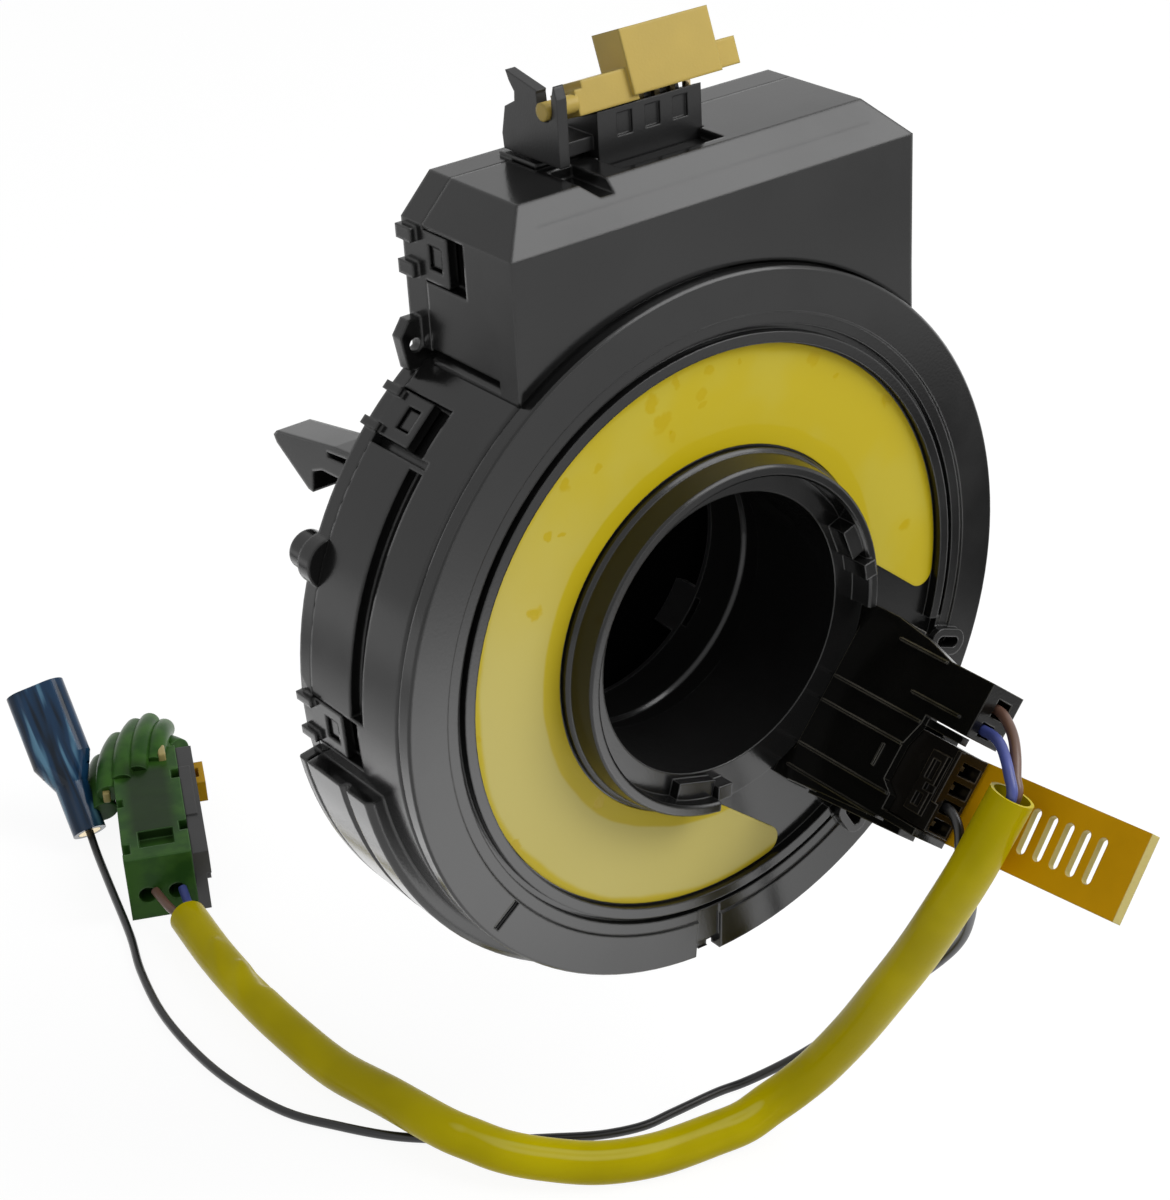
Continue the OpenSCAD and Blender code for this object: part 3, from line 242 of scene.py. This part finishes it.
# Yellow sleeve: soft plastic tubing pushed over the two airbag leads. It arches over the ring,
# hangs down in front and lies on the table in one long curve back to the airbag connector. A
# sharp bend near that end has left folds in it.
SLEEVE_MM = [(18.6, -35.2, -16.4), (15.9, -34.3, -21.5), (14.2, -32.6, -27.2), (13.6, -29, -34.8),
             (12.9, -23.7, -45.2), (12.1, -18.5, -54.4), (11.3, -12.9, -63.9), (9.4, -7.7, -72.3),
             (6.6, -4.8, -76.7), (3.5, -3.2, -79), (-0.5, -2.3, -80.6), (-5, -1, -81.2),
             (-14.2, 1.2, -81.3), (-21.7, 5.1, -81.2), (-27.7, 10.3, -80.5), (-31.6, 14.8, -79.8),
             (-33.9, 19.6, -79.4), (-35.7, 24.6, -79.2), (-37.4, 36.2, -79.9), (-38.9, 47.9, -81.2),
             (-39.4, 59.1, -81.3), (-39.2, 71.4, -81.3), (-38, 85.6, -81.3), (-36, 98.8, -81.3)]
SLEEVE_R, SLEEVE_WALL, SLEEVE_PIECES, SLEEVE_SIDES = 3.15, 0.5, 20, 40
# A swell: by what share it thickens the tubing, where along it, and how far to each side.
SWELLS = ((-0.10, 0, 0.12), (0.15, 0.866, 0.014), (-0.1, 0.892, 0.022), (-0.05, 0.835, 0.03),
          (0.03, 0.96, 0.04))
# A fold: the line that it runs along, how far it stands out, and how wide it is.
FOLDS = (((-41.2, 72.5, -79.8), (-38, 77.5, -78.2), 0.8, 1.2),
         ((-40.6, 80, -79.8), (-38, 85.5, -78.2), 0.5, 1.0),
         ((-37.2, 72, -79), (-36, 77, -79.2), -0.7, 1.2))
FOLD_RISE = Vector((0.2, 0.1, 1))
YELLOW, YELLOW_PALER, YELLOW_HIGHLIGHT = (0.57, 0.465, 0.0003), (0.73, 0.6, 0.0005), (0.8, 0.72, 0.16)
# A pale band is painted along the tubing as a painted highlight, not lit, where it faces up and to
# the front left. It goes by the room's directions, so it stays on that side when the ring turns.
HIGHLIGHT_SIDE, HIGHLIGHT_FROM, HIGHLIGHT_FULL, HIGHLIGHT_SHARE = (-0.28, -0.42, 0.86), 0.955, 0.985, 0.45
HIGHLIGHT_CREST_FROM, HIGHLIGHT_CREST_SHARE = 0.992, 0.5


def route(points, pieces):
    """A smooth line through points in millimetres, returned in metres."""
    p = [Vector(q) * MM for q in points]
    p = [2 * p[0] - p[1], *p, 2 * p[-1] - p[-2]]
    line = []
    for a, b, c, d in zip(p, p[1:], p[2:], p[3:]):
        for i in range(pieces):
            t = i / pieces
            line.append(0.5 * (2 * b + (c - a) * t + (2 * a - 5 * b + 4 * c - d) * t ** 2
                               + (3 * b - a - 3 * c + d) * t ** 3))
    return [*line, p[-2]]


def line_length(line):
    return sum((b - a).length for a, b in zip(line, line[1:]))


def lead_tree():
    """Geometry nodes: a round tube of a named radius along a line, thicker where girth says so."""
    tree = bpy.data.node_groups.new("lead", "GeometryNodeTree")
    for name, way, kind in (("Geometry", "INPUT", "Geometry"), ("Radius", "INPUT", "Float"),
                            ("Sides", "INPUT", "Int"), ("Finish", "INPUT", "Material"),
                            ("Geometry", "OUTPUT", "Geometry")):
        tree.interface.new_socket(name, in_out=way, socket_type="NodeSocket" + kind)
    make, join = tree.nodes.new, tree.links.new
    start, end = make("NodeGroupInput"), make("NodeGroupOutput")
    line, girth = make("GeometryNodeMeshToCurve"), make("GeometryNodeInputNamedAttribute")
    girth.inputs["Name"].default_value = "girth"
    radius, ring = make("GeometryNodeSetCurveRadius"), make("GeometryNodeCurvePrimitiveCircle")
    tube = make("GeometryNodeCurveToMesh")
    tube.inputs["Fill Caps"].default_value = True
    whole, skin = make("GeometryNodeRealizeInstances"), make("GeometryNodeSetMaterial")
    join(start.outputs["Geometry"], line.inputs["Mesh"])
    join(line.outputs["Curve"], radius.inputs["Curve"])
    join(girth.outputs["Attribute"], radius.inputs["Radius"])
    join(start.outputs["Radius"], ring.inputs["Radius"])
    join(start.outputs["Sides"], ring.inputs["Resolution"])
    join(radius.outputs["Curve"], tube.inputs["Curve"])
    join(ring.outputs["Curve"], tube.inputs["Profile Curve"])
    join(tube.outputs["Mesh"], whole.inputs["Geometry"])
    join(whole.outputs["Geometry"], skin.inputs["Geometry"])
    join(start.outputs["Finish"], skin.inputs["Material"])
    join(skin.outputs["Geometry"], end.inputs["Geometry"])
    return tree


LEAD = lead_tree()


def lead(name, lines, radius, sides, material, girth=lambda at: 1.0, shape=None):
    """Leads of one colour along one or more lines, as one plain mesh. Girth gives the thickness
    from 0, a line's start, to 1, its end, and shape moves the finished tube's points."""
    points, edges, sizes = [], [], []
    for line in lines:
        first = len(points)
        points += line
        edges += [(first + i, first + i + 1) for i in range(len(line) - 1)]
        sizes += [girth(i / (len(line) - 1)) for i in range(len(line))]
    mesh = bpy.data.meshes.new(name + "_line")
    mesh.from_pydata(points, edges, [])
    mesh.attributes.new("girth", "FLOAT", "POINT").data.foreach_set("value", sizes)
    source = bpy.data.objects.new(name + "_source", mesh)
    bpy.context.scene.collection.objects.link(source)
    modifier = source.modifiers.new("lead", "NODES")
    modifier.node_group = LEAD
    inputs = {"Radius": radius * MM, "Sides": sides, "Finish": material}
    for item in LEAD.interface.items_tree:
        if item.in_out == "INPUT" and item.name in inputs:
            modifier[item.identifier] = inputs[item.name]
    made = bpy.data.meshes.new_from_object(
        source.evaluated_get(bpy.context.evaluated_depsgraph_get()))
    bpy.data.objects.remove(source)
    if shape:
        for vertex in made.vertices:
            vertex.co = shape(vertex.co)
    made.name = name
    return mesh_object(name, made, material)


def lump(at, middle, width):
    """1 in the middle, falling smoothly to 0 at its width to each side."""
    d = (at - middle) / width
    return max(0.0, 1 - d * d) ** 2


def sleeve_girth(at):
    """The tubing is drawn in at the top and swells and narrows where it was bent."""
    return 1.0 + sum(share * lump(at, middle, width) for share, middle, width in SWELLS)


def folded(at):
    """The slanting folds, which stand out from the tubing or sink into it."""
    for a, b, rise, width in FOLDS:
        a, b = Vector(a) * MM, Vector(b) * MM
        along = max(0.0, min(1.0, (at - a).dot(b - a) / (b - a).length_squared))
        off = (at - a - along * (b - a)).length / (width * MM)
        at = at + FOLD_RISE * rise * MM * exp(-off * off)
    return at


sleeve_yellow, shade = new_material("sleeve_yellow")
place = shade.place()
cloud = place.noise(scale=45, detail=3)
fine = place.noise(scale=1400, detail=2)
# The pale band where the tubing faces up and to the front left is a painted highlight.
upward = shade.normal().vector("DOT_PRODUCT", HIGHLIGHT_SIDE)
highlight_crest = 1 - upward.step(HIGHLIGHT_CREST_FROM, 1.0) * HIGHLIGHT_CREST_SHARE
painted_highlight = upward.step(HIGHLIGHT_FROM, HIGHLIGHT_FULL) * highlight_crest * cloud.step(0.3, 0.5) * HIGHLIGHT_SHARE
tone = cloud.step(0.35, 0.68).blend(YELLOW, YELLOW_PALER)
shade.add("ShaderNodeBsdfPrincipled", values={
    "Base Color": painted_highlight.blend(tone, YELLOW_HIGHLIGHT), "Roughness": 0.3 + cloud * 0.14,
    "Normal": (fine * 0.6 + cloud * 0.4).bump(strength=0.12, deep=0.4),
    "Specular IOR Level": 0.05, "Coat Weight": 0.05, "Coat Roughness": 0.06}).show()

sleeve_line = route(SLEEVE_MM, SLEEVE_PIECES)
sleeve = lead("yellow_sleeve", [sleeve_line], SLEEVE_R, SLEEVE_SIDES, sleeve_yellow,
              sleeve_girth, folded)
# The tube's end caps, its only faces with more than four corners, come off, and it gets a wall.
tube = bmesh.new()
tube.from_mesh(sleeve.data)
caps = [face for face in tube.faces if len(face.verts) > 4]
bmesh.ops.delete(tube, geom=caps, context="FACES_ONLY")
tube.to_mesh(sleeve.data)
tube.free()
wall = sleeve.modifiers.new("wall", "SOLIDIFY")
wall.thickness, wall.offset = SLEEVE_WALL * MM, -1
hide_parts("cable_sleeve")
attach(sleeve, "ring")


# Brown and blue airbag leads: thin insulated wires. They come out of the plug's lead socket, bend
# over into the sleeve, and show again between the sleeve's far end and the green connector.
LEAD_R, LEAD_PIECES, LEAD_SIDES = 0.75, 6, 20
BROWN_START = [(26.6, -19.6, -11.7), (26.6, -22.5, -11.7), (26.6, -25, -11.7),
               (25.5, -27.5, -11.8), (24, -30, -12.4), (22, -32.4, -13.4), (20.2, -34.2, -14.9),
               (19.2, -35.5, -16.3), (18.05, -35.1, -18.9), (16.3, -34.6, -21.9)]
BLUE_START = [(23.8, -19.6, -13.4), (23.8, -22.5, -13.4), (23.7, -25, -13.4),
              (22.9, -27.5, -12.8), (21.6, -30, -12.4), (20.1, -32.4, -12.8), (18.7, -34.5, -13.9),
              (17.7, -36, -15.6), (16.9, -35.4, -18.3), (15.3, -34.7, -21.4)]
BROWN_END = [(-36.8, 98.9, -81.1), (-37.6, 102, -80.2), (-37.6, 106.6, -79.2)]
BLUE_END = [(-35, 98.7, -81.2), (-34.2, 102, -80.6), (-33.4, 104.8, -79.6)]
BROWN, BLUE, DARKER = (0.16, 0.085, 0.06), (0.075, 0.1, 0.36), 0.7


def insulation(name, colour):
    """Extruded soft plastic of one colour, a little darker in places."""
    material, shade = new_material(name)
    mottle = shade.place().noise(scale=160, detail=2)
    darker = tuple(c * DARKER for c in colour)
    shade.add("ShaderNodeBsdfPrincipled", values={
        "Base Color": mottle.step(0.3, 0.7).blend(darker, colour),
        "Roughness": 0.28 + mottle * 0.15, "Normal": mottle.bump(strength=0.1, deep=0.2)}).show()
    return material


for name, colour, runs in (("brown", BROWN, (BROWN_START, BROWN_END)),
                           ("blue", BLUE, (BLUE_START, BLUE_END))):
    lines = [route(run, LEAD_PIECES) for run in runs]
    wire = lead(name + "_lead", lines, LEAD_R, LEAD_SIDES, insulation(name + "_insulation", colour))
    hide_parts(name + "_wire")
    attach(wire, "ring")


# Black horn lead: one thin insulated wire, crimped into the plug at one end. It runs down under
# the sleeve's arch and along the table to the blue spade terminal.
BLACK_MM = [(17, -22.6, -22.6), (17, -24.6, -22.6), (16.9, -26, -22.8), (16.7, -27.2, -23.7),
            (16.5, -27.9, -25.1), (16.3, -28.2, -27.2), (16.4, -28.4, -29.6), (17.6, -28.3, -32.8),
            (20.1, -27, -37.5), (21.8, -25, -43), (22.4, -22.8, -48), (21.8, -19.5, -53),
            (19.7, -13, -61), (16.9, -6, -69.5), (13.6, 0, -76.5), (10.6, 4.2, -80.8),
            (7.2, 7.2, -83.4), (2.8, 8.5, -83.8), (-5, 9.2, -83.8), (-10.3, 9.8, -83.8),
            (-16.2, 12.4, -83.8), (-22.3, 16.8, -83.8), (-28, 21.2, -83.8), (-34, 26.7, -83.8),
            (-39.6, 32.5, -83.8), (-44.5, 39.8, -83.8), (-48.8, 47.8, -83.8), (-51.3, 58.8, -83.8),
            (-51.9, 69.6, -83.8), (-50.9, 81.9, -83.8), (-48, 94, -83.8), (-44.4, 104.2, -83.8),
            (-40, 119.4, -83.6), (-37.2, 129, -83.3), (-36, 133.5, -81.5)]
BLACK_R = 0.7
WIRE_BLACK = (0.012, 0.012, 0.013)

black_line = route(BLACK_MM, LEAD_PIECES)
horn_lead = lead("horn_lead", [black_line], BLACK_R, LEAD_SIDES,
                 insulation("black_insulation", WIRE_BLACK))
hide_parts("black_wire")
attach(horn_lead, "ring")
line_length(black_line)


# Case, tower and rear cover: injection moulded in one glossy black plastic that shows faint flow
# marks, dust and rounded corners, whose slightly paler colour is partly wear and partly a painted
# highlight. The cover snaps on behind, with its eyes over the case's lugs.
BLACK = (0.0065, 0.0065, 0.0065)
CLOUDS, GRAINS, FLOWS = 38, 2600, 9       # dusty patches, fine grain and flow marks to the metre
PALER_TIMES, PALER_PLUS = 1.25, 0.002
BEVEL_SAMPLES, CORNER_FROM, CORNER_FULL = 6, 0.01, 0.12


def rounded_normal(shade, radius):
    """The normal of a surface whose corners are rounded to so many millimetres."""
    return shade.add("ShaderNodeBevel", {"samples": BEVEL_SAMPLES}, {"Radius": radius * MM})


def along_corners(shade, rounded, full=CORNER_FULL):
    """1 where the rounded normal leans at least this far from the flat one, and 0 on flats."""
    return (1 - shade.normal().vector("DOT_PRODUCT", rounded)).step(CORNER_FROM, full)


def moulded(name, colour, roughness, corner=0.3, haze=0.12, relief=0.1, shine=0.5, wear_and_highlight=None,
            wear_and_highlight_share=0.5, plate=None):
    """Moulded plastic. Corners are rounded, and where a paler colour is given they are painted in
    it, partly as wear and partly as a painted highlight. On a plate that lets light through, the
    sides and the slots' walls are painted that colour too, as painted light that comes through it."""
    material, shade = new_material(name)
    place = shade.place()
    cloud = place.noise(scale=CLOUDS, detail=4, Roughness=0.6)
    grain = place.noise(scale=GRAINS, detail=2)
    flow = place.noise(scale=FLOWS, detail=2, Distortion=1.2)
    paler = tuple(min(1, c * PALER_TIMES + PALER_PLUS) for c in colour)
    tone = (cloud * 0.6 + flow * 0.4).step(0.35, 0.7).blend(colour, paler)
    rounded = rounded_normal(shade, corner)
    # Paler corners: partly wear and partly a painted highlight on the rounded edges.
    if wear_and_highlight:
        edge = along_corners(shade, rounded) * (wear_and_highlight_share * cloud.step(0.3, 0.6))
        if plate:
            square = shade.normal().vector("DOT_PRODUCT", plate)
            edge = edge.most(1 - abs(square).step(0.5, 0.8))
        tone = edge.blend(tone, wear_and_highlight)
    shade.add("ShaderNodeBsdfPrincipled", values={
        "Base Color": tone, "Roughness": roughness + cloud.step(0.4, 0.75) * haze,
        "Normal": (grain * 0.5 + flow).bump(strength=relief, deep=0.3, under=rounded),
        "Specular IOR Level": shine, "IOR": 1.46}).show()
    return material


def finish(nodes, material):
    """CAD nodes whose shape is right take their material here."""
    for node in nodes:
        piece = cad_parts[node]
        piece.data.materials.clear()
        piece.data.materials.append(material)


finish(["stator_case", "tower_case", "rear_cover"],
       moulded("case_black", BLACK, roughness=0.16, corner=0.6, relief=0.06,
               wear_and_highlight=(0.07, 0.07, 0.068)))


# Turning ring with its hub: moulded in the same black plastic as the case, a little glossier and
# with sharper corners, which are painted paler, partly as wear from handling and partly as a
# painted highlight. It turns in the case on its rim.
finish(["rotor"], moulded("ring_black", BLACK, roughness=0.15, corner=0.35, relief=0.06,
                          wear_and_highlight=(0.12, 0.12, 0.118)))


# Housing of the plug and the leads: moulded with the ring, in thin walls and ridges whose edges are
# painted paler, partly as wear and partly as a painted highlight. Between them it looks a deeper
# black than the ring's open faces.
finish(["plug_housing"], moulded("plug_black", (0.0035, 0.0034, 0.0028), roughness=0.2, corner=0.3,
                                 shine=0.4, wear_and_highlight=(0.16, 0.15, 0.12), wear_and_highlight_share=1.0))


# Plug in the housing: the loose black connector that latches in, of a browner and duller plastic
# than what holds it, with edges painted strongly paler, partly as wear and partly as a painted
# highlight.
finish(["ring_plug"], moulded("core_black", (0.006, 0.005, 0.0038), roughness=0.26, corner=0.28,
                              shine=0.3, wear_and_highlight=(0.2, 0.17, 0.13), wear_and_highlight_share=1.0))


# Small black parts: the column socket on the tower, the retaining ring that snaps on behind the
# hub, and the airbag connector's side cover, all moulded with a satin face.
finish(["column_socket", "rear_retainer", "airbag_side_cover"],
       moulded("satin_black", (0.01, 0.01, 0.0102), roughness=0.38, wear_and_highlight=(0.05, 0.05, 0.048)))


# Column connector: moulded in cream plastic, opaque and softly glossy, paler along its corners. It
# hangs by two pins in the column socket, and sits turned up in it.
finish(["column_connector"], moulded("cream", (0.5, 0.36, 0.075), roughness=0.36, haze=0.1,
                                     shine=0.3, corner=0.5, wear_and_highlight=(0.56, 0.44, 0.13), wear_and_highlight_share=0.8))


# Transport lock: a thin moulded strip of amber plastic that lets light through, so its long sides
# and its slots' walls are painted paler than its faces, as painted light. It slides out of a guide
# in the housing.
STRIP_FACES = (0.77, 0.0, -0.64)      # the way that its broad faces look in the room, at rest
finish(["transport_lock"], moulded("amber", (0.66, 0.34, 0.0005), roughness=0.38, haze=0.1,
                                   shine=0.12, corner=0.25, wear_and_highlight=(0.68, 0.57, 0.2), wear_and_highlight_share=0.9,
                                   plate=STRIP_FACES))


# Airbag connector's lock: a small amber plastic slider that is pressed into the connector's side
# once the connector is plugged in.
finish(["airbag_lock"], moulded("lock_amber", (0.55, 0.3, 0.001), roughness=0.38, shine=0.15,
                                wear_and_highlight=(0.62, 0.45, 0.1)))


# Green airbag connector on the two leads' ends: moulded in see-through green plastic, with painted
# shade over its hollow middle for the dark inside. It is drawn in its own frame, in millimetres,
# where y runs towards the nose.
AIR_AT, AIR_TURN = Vector((-35.2, 105.5, -84.5)), radians(-25)
HOLLOW_AT, HOLLOW_WIDE, HOLLOW_LONG = (-1.4, 18, 0), (2.6, 5.2), (9, 13)
GREEN_DEEP, GREEN_PALER = (0.025, 0.085, 0.014), (0.045, 0.13, 0.02)
GREEN_HOLLOW_SHADE, GREEN_EDGE = (0.014, 0.032, 0.009), (0.1, 0.23, 0.07)
GREEN_CORNER, GREEN_CORNER_FULL, HOLLOW_SHADE_SHARE, EDGE_SHARE = 0.5, 0.15, 0.9, 0.7


def in_connector(at):
    """A point of the connector's own frame, in metres in the part's frame."""
    x, y, z = at
    return (AIR_AT + Vector((x * cos(AIR_TURN) - y * sin(AIR_TURN),
                             x * sin(AIR_TURN) + y * cos(AIR_TURN), z))) * MM


green, shade = new_material("connector_green")
place = shade.place()
cloud = place.noise(scale=260, detail=3)
own = place.vector("SUBTRACT", tuple(in_connector(HOLLOW_AT)), out="Vector")
sideways, lengthways = (tuple((in_connector(axis) - in_connector((0, 0, 0))) / MM)
                        for axis in ((1, 0, 0), (0, 1, 0)))
u = abs(own.vector("DOT_PRODUCT", sideways) * (1 / MM))
v = abs(own.vector("DOT_PRODUCT", lengthways) * (1 / MM))
# Painted shade over the hollow middle, for the dark inside seen through the wall.
hollow_shade = (1 - u.step(*HOLLOW_WIDE)) * (1 - v.step(*HOLLOW_LONG))
rounded = rounded_normal(shade, GREEN_CORNER)
edge = along_corners(shade, rounded, GREEN_CORNER_FULL) * EDGE_SHARE
tone = cloud.step(0.35, 0.65).blend(GREEN_DEEP, GREEN_PALER)
tone = (hollow_shade * HOLLOW_SHADE_SHARE).blend(tone, GREEN_HOLLOW_SHADE)
shade.add("ShaderNodeBsdfPrincipled", values={
    "Base Color": edge.blend(tone, GREEN_EDGE), "Roughness": 0.25 + cloud * 0.15,
    "Normal": cloud.bump(strength=0.12, deep=0.4, under=rounded),
    "Specular IOR Level": 0.1}).show()
finish(["airbag_connector"], green)


# Lobed nose of the green connector: six ribs of the same plastic, each bent over in an arch from
# the body to the nose's tip and rounded off at both ends.
LOBES = (((-9.6, 27, 5.5), (-10.6, 33, 8), (-8.6, 40, 7), 2.5),
         ((-8.2, 26, 9.6), (-8, 33, 12.4), (-5.4, 42, 10), 2.2),
         ((-5.6, 27, 11), (-4.8, 35, 14), (-2, 44.6, 11), 2.0),
         ((-2.8, 28.6, 11.4), (-1.6, 36, 14.4), (0.6, 45.2, 11.4), 1.9),
         ((0.4, 31, 11.2), (1.6, 37.4, 13.6), (3, 44, 10.4), 1.9),
         ((-4.5, 38, 8), (0, 43.5, 8.4), (4.4, 38, 8), 3.2))
LOBE_STEPS, LOBE_SIDES = 24, 28
BLUNTNESS, SMALLEST = 6, 0.0001


def blunt(at):
    """Full along its length and round at both ends, which keep a tiny ring for their caps."""
    return (1 + SMALLEST - (2 * at - 1) ** BLUNTNESS) ** 0.5


on_connector = []
for number, (a, b, c, thick) in enumerate(LOBES, 1):
    a, b, c = Vector(a), Vector(b), Vector(c)
    line = [in_connector(a * (1 - t) ** 2 + b * 2 * t * (1 - t) + c * t * t)
            for t in (step / LOBE_STEPS for step in range(LOBE_STEPS + 1))]
    lobe = lead(f"connector_lobe_{number}", [line], thick, LOBE_SIDES, green, blunt)
    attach(lobe, "ring")
    on_connector.append(lobe)


# Contact holders: two small beige blocks pushed into the green connector, one on its top and one
# at its side, moulded with rounded edges. Each is given by two opposite corners.
HOLDERS = (((1.2, 30.2, 11.4), (2.5, 33.6, 13.4)), ((-9.3, 24.6, 8.6), (-8, 27.6, 10.6)))
HOLDER_EDGE, HOLDER_SEGMENTS = 0.3, 3

beige = moulded("holder_beige", (0.42, 0.34, 0.13), roughness=0.35, corner=0.2, shine=0.3)
for number, (low, high) in enumerate(HOLDERS, 1):
    block = bmesh.new()
    bmesh.ops.create_cube(block, size=1)
    for vertex in block.verts:
        vertex.co = in_connector([a + (b - a) * (c + 0.5) for a, b, c in zip(low, high, vertex.co)])
    bmesh.ops.bevel(block, geom=block.edges, offset=HOLDER_EDGE * MM, segments=HOLDER_SEGMENTS,
                    profile=0.5, affect="EDGES")
    bmesh.ops.recalc_face_normals(block, faces=block.faces)
    mesh = bpy.data.meshes.new(f"contact_holder_{number}")
    block.to_mesh(mesh)
    block.free()
    holder = mesh_object(mesh.name, mesh, beige)
    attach(holder, "ring")
    on_connector.append(holder)

# The connector is on the sleeve's end; the pieces on it are gathered in one list once all of them
# are made.
on_connector += [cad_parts[n] for n in ("airbag_connector", "airbag_side_cover",
                                             "airbag_contacts", "airbag_lock")]
line_length(sleeve_line)


# Blocks at the flat cable's two ends: moulded in natural, undyed plastic. One is fixed in the
# tower, and one is pressed on the hub and turns with it.
finish(["fixed_block", "moving_block"], moulded("natural", (0.6, 0.55, 0.44), roughness=0.5))


# Slip sheets: thin dark plastic film, one in front of the flat cable and one behind it, so that
# the cable's edges slide quietly on the case and on the ring.
finish(["front_slip_sheet", "rear_slip_sheet"],
       moulded("film", (0.03, 0.04, 0.05), roughness=0.4))


# Flat cable: copper strips between two films, which give it its orange-brown colour. It is wound
# in the case round the hub.
finish(["flat_cable"], moulded("ribbon", (0.4, 0.13, 0.03), roughness=0.3))


# Caution label: a smooth yellow film glued on the turning plate. The glue has left darker blotches,
# its lower left is paler with a painted soft reflection, and both its rims are a deeper yellow.
LABEL, LABEL_PALER, LABEL_REFLECTION = (0.69, 0.54, 0.02), (0.69, 0.56, 0.045), (0.72, 0.62, 0.19)
LABEL_RIM, LABEL_BLOTCH = (0.68, 0.52, 0.002), (0.66, 0.485, 0.001)
REFLECTION_SIDE, REFLECTION_FROM, REFLECTION_FULL, REFLECTION_WAVER = (-0.62, 0, -0.78), -22, 30, 12
LABEL_Y, LABEL_IN, LABEL_EDGE = 1.2, 28.4, 0.2
RIM_OUT, RIM_SOFT, RIM_IN, RIM_WAVER, RIM_SHARE = 1.3, 0.5, 0.5, 2, 0.85
BLOTCH_FULL, BLOTCH_END, BLOTCH_WAVER, BLOTCH_SHARE = 0.6, 1.05, 3.0, 0.9
# A blotch: its middle to the right of and above the ring's, and its radius, in millimetres.
BLOTCHES = ((-9.3, 35.8, 1.3), (-7.8, 33.0, 1.5), (-6.6, 30.4, 0.9), (-5.3, 37.3, 0.8),
            (-0.3, 37.5, 0.8), (-1.4, 34.7, 0.9), (-1.1, 33.1, 0.7), (5.1, 37.2, 0.5),
            (17.8, 34.2, 1.2), (21.5, 30.8, 0.6), (30.5, 23.8, 1.2), (-23.1, 29.3, 1.1),
            (-18.3, 29.7, 0.8), (-26.1, 23.6, 0.9), (-23.9, 23.0, 0.5), (-28.7, 13.9, 1.2),
            (-20.8, -17.8, 1.3), (-34.7, -18.8, 1.0), (34.2, 3.8, 1.1), (-39.0, -0.6, 0.8),
            (-38.2, -16.0, 0.6))
label_low, label_high = (Vector(corner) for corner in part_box("caution_label"))
label_out = (label_high.x - label_low.x) / 2

label_film, shade = new_material("label_film")
place = shade.place()
cloud = place.noise(scale=60, detail=3)
# A painted soft reflection makes the lower left of the label paler.
down_left = place.vector("DOT_PRODUCT", REFLECTION_SIDE) + (cloud - 0.5) * (REFLECTION_WAVER * MM)
painted_reflection = down_left.step(REFLECTION_FROM * MM, REFLECTION_FULL * MM)
waver = place.noise(scale=420, detail=2, out="Color")
shifted = waver.vector("MULTIPLY_ADD", (BLOTCH_WAVER * MM, 0, BLOTCH_WAVER * MM), place,
                       out="Vector")
marks = None
for x, z, size in BLOTCHES:
    middle = Vector((x + BLOTCH_WAVER / 2, LABEL_Y, z + BLOTCH_WAVER / 2)) * MM
    away = shifted.vector("DISTANCE", middle)
    mark = 1 - away.step(size * BLOTCH_FULL * MM, size * BLOTCH_END * MM)
    marks = marks.most(mark) if marks else mark
from_axis = place.vector("MULTIPLY", (1, 0, 1), out="Vector").vector("LENGTH")
from_axis += (cloud - 0.5) * (RIM_WAVER * MM)
outer = from_axis.step(label_out - RIM_OUT * MM, label_out - RIM_SOFT * MM)
inner = 1 - from_axis.step(LABEL_IN * MM, (LABEL_IN + RIM_IN) * MM)
tone = cloud.step(0.42, 0.62).blend(LABEL, LABEL_PALER)
tone = painted_reflection.blend(tone, LABEL_REFLECTION)
tone = (outer.most(inner) * RIM_SHARE).blend(tone, LABEL_RIM)
shade.add("ShaderNodeBsdfPrincipled", values={
    "Base Color": (marks * BLOTCH_SHARE).blend(tone, LABEL_BLOTCH),
    "Roughness": 0.34 + cloud * 0.12 - marks * 0.12,
    "Normal": cloud.bump(strength=0.08, deep=0.3, under=rounded_normal(shade, LABEL_EDGE)),
    "Specular IOR Level": 0.2}).show()
finish(["caution_label"], label_film)


# Contacts and spade terminal: stamped and folded from brass strip, finely scratched. They are
# pushed into their plugs, and the leads are crimped into them.
BRASS, BRASS_PALER = (0.55, 0.43, 0.22), (0.75, 0.62, 0.38)

contact_metal, shade = new_material("contact_metal")
scratch = shade.place().noise(scale=900, detail=3)
shade.add("ShaderNodeBsdfPrincipled", values={
    "Base Color": scratch.step(0.3, 0.7).blend(BRASS, BRASS_PALER), "Metallic": 1.0,
    "Roughness": 0.22 + scratch * 0.2}).show()
finish(["column_contacts", "ring_plug_contacts", "airbag_contacts", "horn_terminal"], contact_metal)


# Blue sleeve of the spade terminal: thin see-through plastic pulled over it, drawn with long dark
# and pale streaks along it.
SPADE_WIDE, SPADE_LONG = (0.897, -0.365, 0.245), (0.1, 0.71, 0.69)
STREAKS_WIDE, STREAKS_LONG, STREAK_SEED = 620, 75, 0.4
SPADE_DARK, SPADE_BLUE, SPADE_PALE = (0.002, 0.01, 0.022), (0.009, 0.045, 0.11), (0.12, 0.28, 0.42)

spade_blue, shade = new_material("spade_blue")
place = shade.place()
drawn = shade.add("ShaderNodeCombineXYZ", values={
    0: place.vector("DOT_PRODUCT", SPADE_WIDE) * STREAKS_WIDE,
    1: place.vector("DOT_PRODUCT", SPADE_LONG) * STREAKS_LONG, 2: STREAK_SEED})
streak = drawn.noise(scale=1, detail=1, Distortion=0.4)
tone = streak.step(0.3, 0.55).blend(SPADE_DARK, SPADE_BLUE)
shade.add("ShaderNodeBsdfPrincipled", values={
    "Base Color": streak.step(0.56, 0.7).blend(tone, SPADE_PALE),
    "Roughness": 0.12 + streak * 0.08, "Normal": streak.bump(strength=0.08, deep=0.3),
    "Specular IOR Level": 0.25}).show()
finish(["horn_insulator"], spade_blue)
